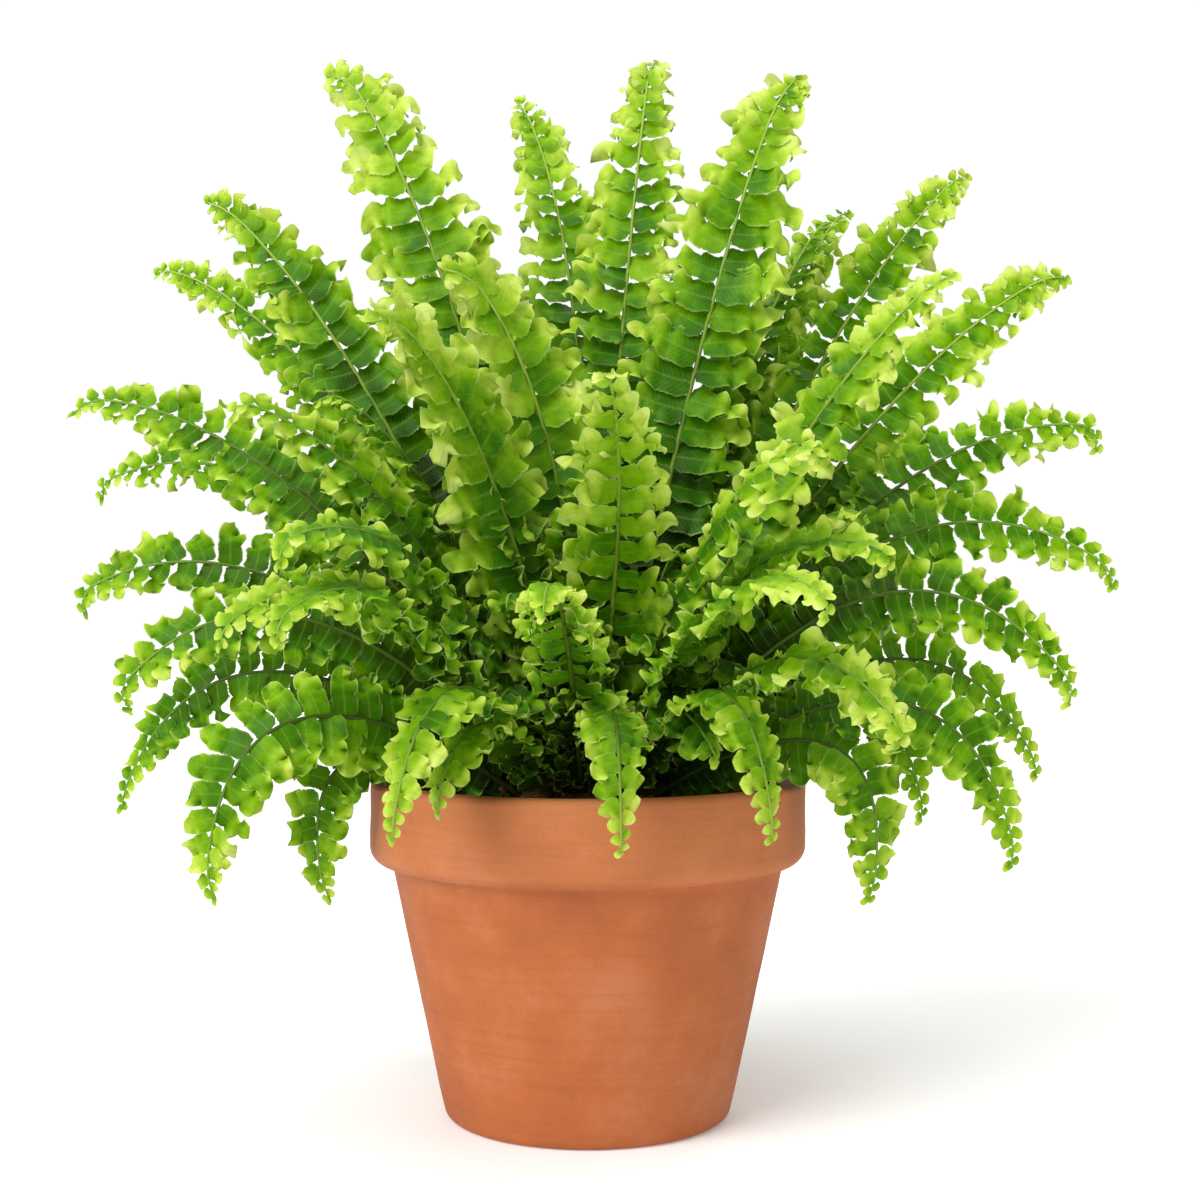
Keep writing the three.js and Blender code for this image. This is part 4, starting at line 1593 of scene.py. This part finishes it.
    def leaflet_places(self, frond: Frond, length: float, rng: np.random.Generator) -> dict[str, np.ndarray]:
        """Sets out the leaflets on both sides of a stalk.

        Args:
            frond: the frond.
            length: of its stalk.
            rng: the frond's random numbers.

        Returns:
            By name, one value for each leaflet: its share of the stalk, its side, its length, its share
            of the blade and the distance to the next one.
        """
        rows = []
        carriage = CARRIAGES[frond.habit]
        middle = carriage.spacing[0] + carriage.spacing[1] * frond.half
        run = self.first_leaflet * length
        while run < self.last_leaflet * length:
            blade = np.clip((run / length - self.bare) / (1 - self.bare), 0, 1)
            size = self.blade_width(blade, carriage.taper)
            pitch = lerp(self.tip_pitch, middle, min(1.0, 1.15 * size))
            for side, shift in ((-1, 0.0), (1, self.stagger)):
                share = (run + shift * pitch) / length
                if share < self.last_leaflet:
                    rows.append((share, side, size * frond.half, blade, pitch))
            run += pitch
        rows.append((self.last_leaflet, 0, 0.1 * frond.half + 2.5, 1.0, self.tip_pitch))
        share, side, size, blade, pitch = np.array(rows).T
        size = size * rng.uniform(*self.length_spread, len(size))
        return {"share": share, "side": side, "size": size, "blade": blade, "pitch": pitch}

    def blade_width(self, blade: float, narrowing: float) -> float:
        """Leaflet length at a share of the blade, as a share of the longest."""
        taper = math.sin(min(1.0, (1 - blade) / 0.5) * math.pi / 2) ** narrowing
        return max(self.shortest, taper * lerp(self.lowest, 1, min(1.0, blade / 0.2)))

    def add_leaflets(
        self, parts: MeshParts, frond: Frond, leaflet: Shape, stalk: Stalk, rng: np.random.Generator
    ) -> None:
        """Bends, ruffles and curls a copy of the flat leaflet for each place on the stalk.

        Args:
            parts: what they are added to.
            frond: the frond.
            leaflet: the flat leaflet.
            stalk: the frond's stalk.
            rng: the frond's random numbers.
        """
        flat, faces = leaflet
        length = float(np.sum(np.linalg.norm(np.diff(stalk.points, axis=0), axis=1)))
        places = self.leaflet_places(frond, length, rng)
        count = len(places["share"])
        local, relief = self.bend(frond, flat, places, rng)

        last = len(stalk.points) - 1
        spot = places["share"] * last
        here = np.stack([np.interp(spot, np.arange(last + 1), line) for line in stalk.points.T], axis=1)
        near = np.clip(spot.round().astype(int), 0, last)
        outward = np.where(places["side"] >= 0, 1.0, -1.0)
        x_axis = stalk.side[near] * outward[:, None]
        y_axis = stalk.along[near]
        ending = places["side"] == 0
        x_axis[ending] = stalk.along[near][ending]
        y_axis[ending] = stalk.side[near][ending]
        here = here + x_axis * (0.25 * np.where(ending, 0, 1))[:, None]
        world = (
            here[:, None]
            + local[..., :1] * x_axis[:, None]
            + local[..., 1:2] * y_axis[:, None]
            + local[..., 2:] * stalk.face[near][:, None]
        )
        world = self.pot.push_clear(world.reshape(-1, 3), self.pot_gap)

        # Painted shade: leaflets near the stalk's foot, deep in the clump, are made darker.
        inside = 1 - smoothstep(*CARRIAGES[frond.habit].shaded, places["share"])
        tones = frond.tone - self.inside_shade * inside
        tones = tones + self.tip_light * smoothstep(0.6, 1.0, places["blade"])
        tones += rng.normal(0, 0.09, count)
        # relief is painted light: lighter on ruffle crests.
        tones = np.clip(tones[:, None] + relief, 0, 1).ravel()
        step = np.arange(count) * len(flat)
        flipped = np.where((outward > 0)[:, None, None], faces[None, :, ::-1], faces[None])
        flipped[ending] = faces[None]
        corners = (flipped + step[:, None, None]).reshape(-1, faces.shape[1])
        uv = np.stack([flat[:, 0], flat[:, 1] / 2 + 0.5], axis=1)
        parts.add(Part(world, np.tile(uv, (count, 1)), [corners]), 0, tones)

    def lay_ribs(
        self, frond: Frond, places: dict[str, np.ndarray], u: np.ndarray, rng: np.random.Generator
    ) -> tuple[np.ndarray, ...]:
        """Lays the leaflets' ribs: each bends in the blade's plane and curls out of it.

        Args:
            frond: the frond.
            places: what leaflet_places gives.
            u: shares of the way along a rib.
            rng: the frond's random numbers.

        Returns:
            For each leaflet and share: the rib's point, the direction along it, the one across the
            leaflet and the one out of its face.
        """
        carriage = CARRIAGES[frond.habit]
        size = places["size"][:, None]
        each = size.shape

        def vary(amount: float) -> np.ndarray:
            """A random value for each leaflet, mostly within the amount."""
            return rng.normal(0, amount / 2, each)

        young = smoothstep(0.45, 1.0, places["blade"])[:, None]
        back = np.where(rng.uniform(size=each) < carriage.back, -1.0, 1.0)
        grown = smoothstep(*self.grown_size, size)
        hook = back * carriage.hook * (0.55 + 0.5 * young) * rng.uniform(0.45, 1.3, each)
        wild = 0.35 + 0.65 * grown  # small leaflets near the tip are regular
        hook *= 0.4 + 0.6 * grown
        yaw = 6 + 26 * young + vary(10) * wild + 10 * u + hook * smoothstep(0.5, 1.0, u)
        curl_side = np.where(rng.uniform(size=each) < 0.75, -1.0, 1.0)
        curl = curl_side * carriage.curl * rng.uniform(0.15, 1.15, each) * (0.8 + 0.4 * young)
        curl *= wild
        droop = carriage.droop + self.side_droop * max(0.0, 1 - 2 * frond.turn)
        pitch = vary(15) * wild - droop + 14 * u * (1 - u) + curl * smoothstep(0.55, 1.0, u) ** 1.2
        yaw, pitch = np.radians(yaw), np.radians(pitch)
        ahead = np.cos(pitch)
        tangent = np.stack([ahead * np.cos(yaw), ahead * np.sin(yaw), np.sin(pitch)], axis=-1)
        middle = (tangent[:, 1:] + tangent[:, :-1]) / 2
        step = (size * np.diff(u))[..., None]
        rib = np.concatenate([np.zeros((len(size), 1, 3)), np.cumsum(middle * step, axis=1)], axis=1)
        level = np.stack([-np.sin(yaw), np.cos(yaw), np.zeros_like(yaw)], axis=-1)
        normal = np.cross(tangent, level)
        roll = np.radians(carriage.roll + (vary(14) + vary(carriage.twist) * u) * wild)[..., None]
        cross = level * np.cos(roll) + normal * np.sin(roll)
        return rib, tangent, cross, np.cross(tangent, cross)

    def bend(
        self, frond: Frond, flat: np.ndarray, places: dict[str, np.ndarray], rng: np.random.Generator
    ) -> tuple[np.ndarray, np.ndarray]:
        """Shapes the leaflets of one frond.

        Each is a strap with a small ear beside the stalk and an end that is pleated and cut into lobes.
        Its two edges are gathered in waves.

        Args:
            frond: the frond.
            flat: the flat leaflet's points.
            places: what leaflet_places gives.
            rng: the frond's random numbers.

        Returns:
            Points for each leaflet: along it, towards the frond's tip, and out of the face; and the painted
                light
            at each point: how much lighter it is for standing out.
        """
        carriage = CARRIAGES[frond.habit]
        stops, row = np.unique(flat[:, 0].round(6), return_inverse=True)
        u = stops[None, :]
        rib, tangent, cross, normal = self.lay_ribs(frond, places, u, rng)
        size = places["size"]
        count = len(size)
        pair = (count, 2, 1)
        young = smoothstep(0.45, 1.0, places["blade"])[:, None]
        grown = smoothstep(*self.grown_size, size)[:, None]

        half_width = (0.5 * carriage.fill * places["pitch"] * rng.uniform(0.92, 1.1, count))[:, None]
        half_width *= 0.8 + 0.2 * grown
        waist = 0.95 + (carriage.waist - 0.95) * grown
        end = 0.9 + (carriage.end - 0.9) * grown
        swell = 1 + (waist - 1) * smoothstep(0.0, 0.4, u)
        swell += (end - waist) * smoothstep(0.4, 0.86, u)
        # The end is a half circle on the leaflet's own width, or an ellipse that is longer than it.
        end_radius = half_width * end
        zone = np.clip(0.8 * carriage.rounding * end_radius / size[:, None], 0.12, 0.7)
        past = np.clip((u - 1 + zone) / zone, 0, 1)
        blunt = np.sqrt(1 - 0.64 * past**2)
        outline = half_width * lerp(0.72, 1.0, smoothstep(0.0, 0.15, u)) * swell * blunt
        ear = 1 + 0.24 * np.exp(-(((u - 0.08) / 0.05) ** 2)) * (1 - young)

        # Two to four waves run along each edge, and the edge swings out into a lobe on each of them;
        # smaller lobes stand round the end. Points slide along the edge towards the notches, which makes
        # the lobes round and the notches sharp.
        waves = (1.0 + size / 13)[:, None]
        phase = rng.uniform(0, math.tau, pair)
        uneven = 1 + 0.4 * np.sin(rng.uniform(3, 8, pair) * u[None] + 2.3 * phase)
        beat = math.tau * waves[:, None] * rng.uniform(0.85, 1.15, pair) * u[None] + phase
        held_end = 1 - 0.95 * smoothstep(0.8, 1.0, u)
        rising = (0.08 + 0.92 * smoothstep(0.26, 0.78, u) * held_end)[None]
        gather = (half_width * grown)[:, None] * carriage.crimp * rising
        swinging = smoothstep(0.3, 0.7, u) * held_end * (0.3 + 0.7 * grown)
        lobes = self.lobe * carriage.lobed * np.sin(beat + 0.9) * swinging[:, None]
        steps = np.arange(len(stops))
        zigzag = np.where(steps % 2, 1.0, -1.0) * smoothstep(0.05, 0.25, stops)
        zigzag *= 1 - smoothstep(0.88, 0.98, stops)
        teeth = self.tooth * zigzag * rng.uniform(0.1, 1.5, (count, 2, len(stops)))
        swing = math.tau * steps / rng.uniform(3.6, 5.6, pair) + 1.7 * phase
        fingered = smoothstep(0.4, 0.7, stops) * (1 - smoothstep(0.84, 1.0, stops))
        fingered = carriage.lobed * fingered * grown[:, None]
        fingered = self.finger * rng.uniform(0.3, 1.4, pair) * fingered
        cut = teeth * grown[:, None] + fingered * np.cos(swing)

        column = np.unique(flat[:, 1].round(6), return_inverse=True)[1]
        columns = column.max() + 1
        v = flat[:, 1]
        upper = (v > 0).astype(int)
        edge = np.abs(v)[None]
        near_end = smoothstep(0.5, 1.0, u)[:, row]
        pleats = rng.normal(0, self.pleat, (count, columns))[:, column] * near_end * grown
        pleats *= carriage.lobed * np.where(edge > 0.9, 0.5, 1.0)
        lift = (gather * uneven * np.sin(beat))[:, upper, row] * edge**2.1 / half_width + pleats
        eased = half_width[:, None] * 0.5 * fingered * np.sin(swing) - 0.4 * gather * np.cos(beat + 0.9)
        slide = eased[:, upper, row] * edge**2
        shaped = 1 + lobes[:, upper, row] * edge + cut[:, upper, row] * (edge > 0.9)
        width = outline[:, row] * np.where(v > 0, ear[:, row], 1.0) * shaped
        channel = outline[:, row] * (0.34 * edge - 0.26 * edge**2)
        reach = 0.2 * carriage.rounding * np.sqrt(np.clip(1 - edge**2, 0, 1))
        notched = self.notch * carriage.lobed * grown * np.where(edge > 0.9, 0.25, 1.0)
        reach = reach + rng.uniform(-0.4, 1, (count, columns))[:, column] * notched
        cap = end_radius * reach * past[:, row] ** 2
        points = (
            rib[:, row]
            + cross[:, row] * (width * v)[..., None]
            + normal[:, row] * (half_width * lift + channel)[..., None]
            + tangent[:, row] * (slide + cap)[..., None]
        )
        self.ease_ends(points, row, column, int(np.sum(stops > self.eased_from)))
        # Painted light: ruffle crests lighter, and the ends of even leaflets darker.
        return points, self.crest_painted_light * lift - carriage.even * (u[:, row] - 0.4)

    def ease_ends(self, points: np.ndarray, row: np.ndarray, column: np.ndarray, rows: int) -> None:
        """Rounds the outline of each leaflet's end, so that its lobes have no thin spikes.

        Args:
            points: of the leaflets, which it moves.
            row: which row along the leaflet each point is in.
            column: which column across the leaflet each point is in.
            rows: how many rows at the end it rounds.
        """
        grid = np.lexsort((column, row)).reshape(row.max() + 1, -1)
        left, right = grid[-rows:, 0], grid[-rows:, -1]
        outline = np.concatenate([left, grid[-1, 1:-1], right[::-1]])
        for _ in range(self.easings):
            path = points[:, outline]
            points[:, outline[1:-1]] = (path[:, :-2] + 2 * path[:, 1:-1] + path[:, 2:]) / 4


# ---------------------------------------------------------------- the whole


def main() -> None:
    """Builds the studio, the pot, the mix, the crown and the fronds."""
    logging.basicConfig(level=logging.INFO, format="%(name)s %(message)s")
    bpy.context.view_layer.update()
    Studio().build()
    pot = Pot()
    pot.build()
    PottingMix(pot).build()
    crown = Crown()
    crown.build()
    stand = FernStand(pot, crown)
    stand.plan()
    stand.build()
    bpy.context.view_layer.update()


if __name__ == "__main__":
    main()
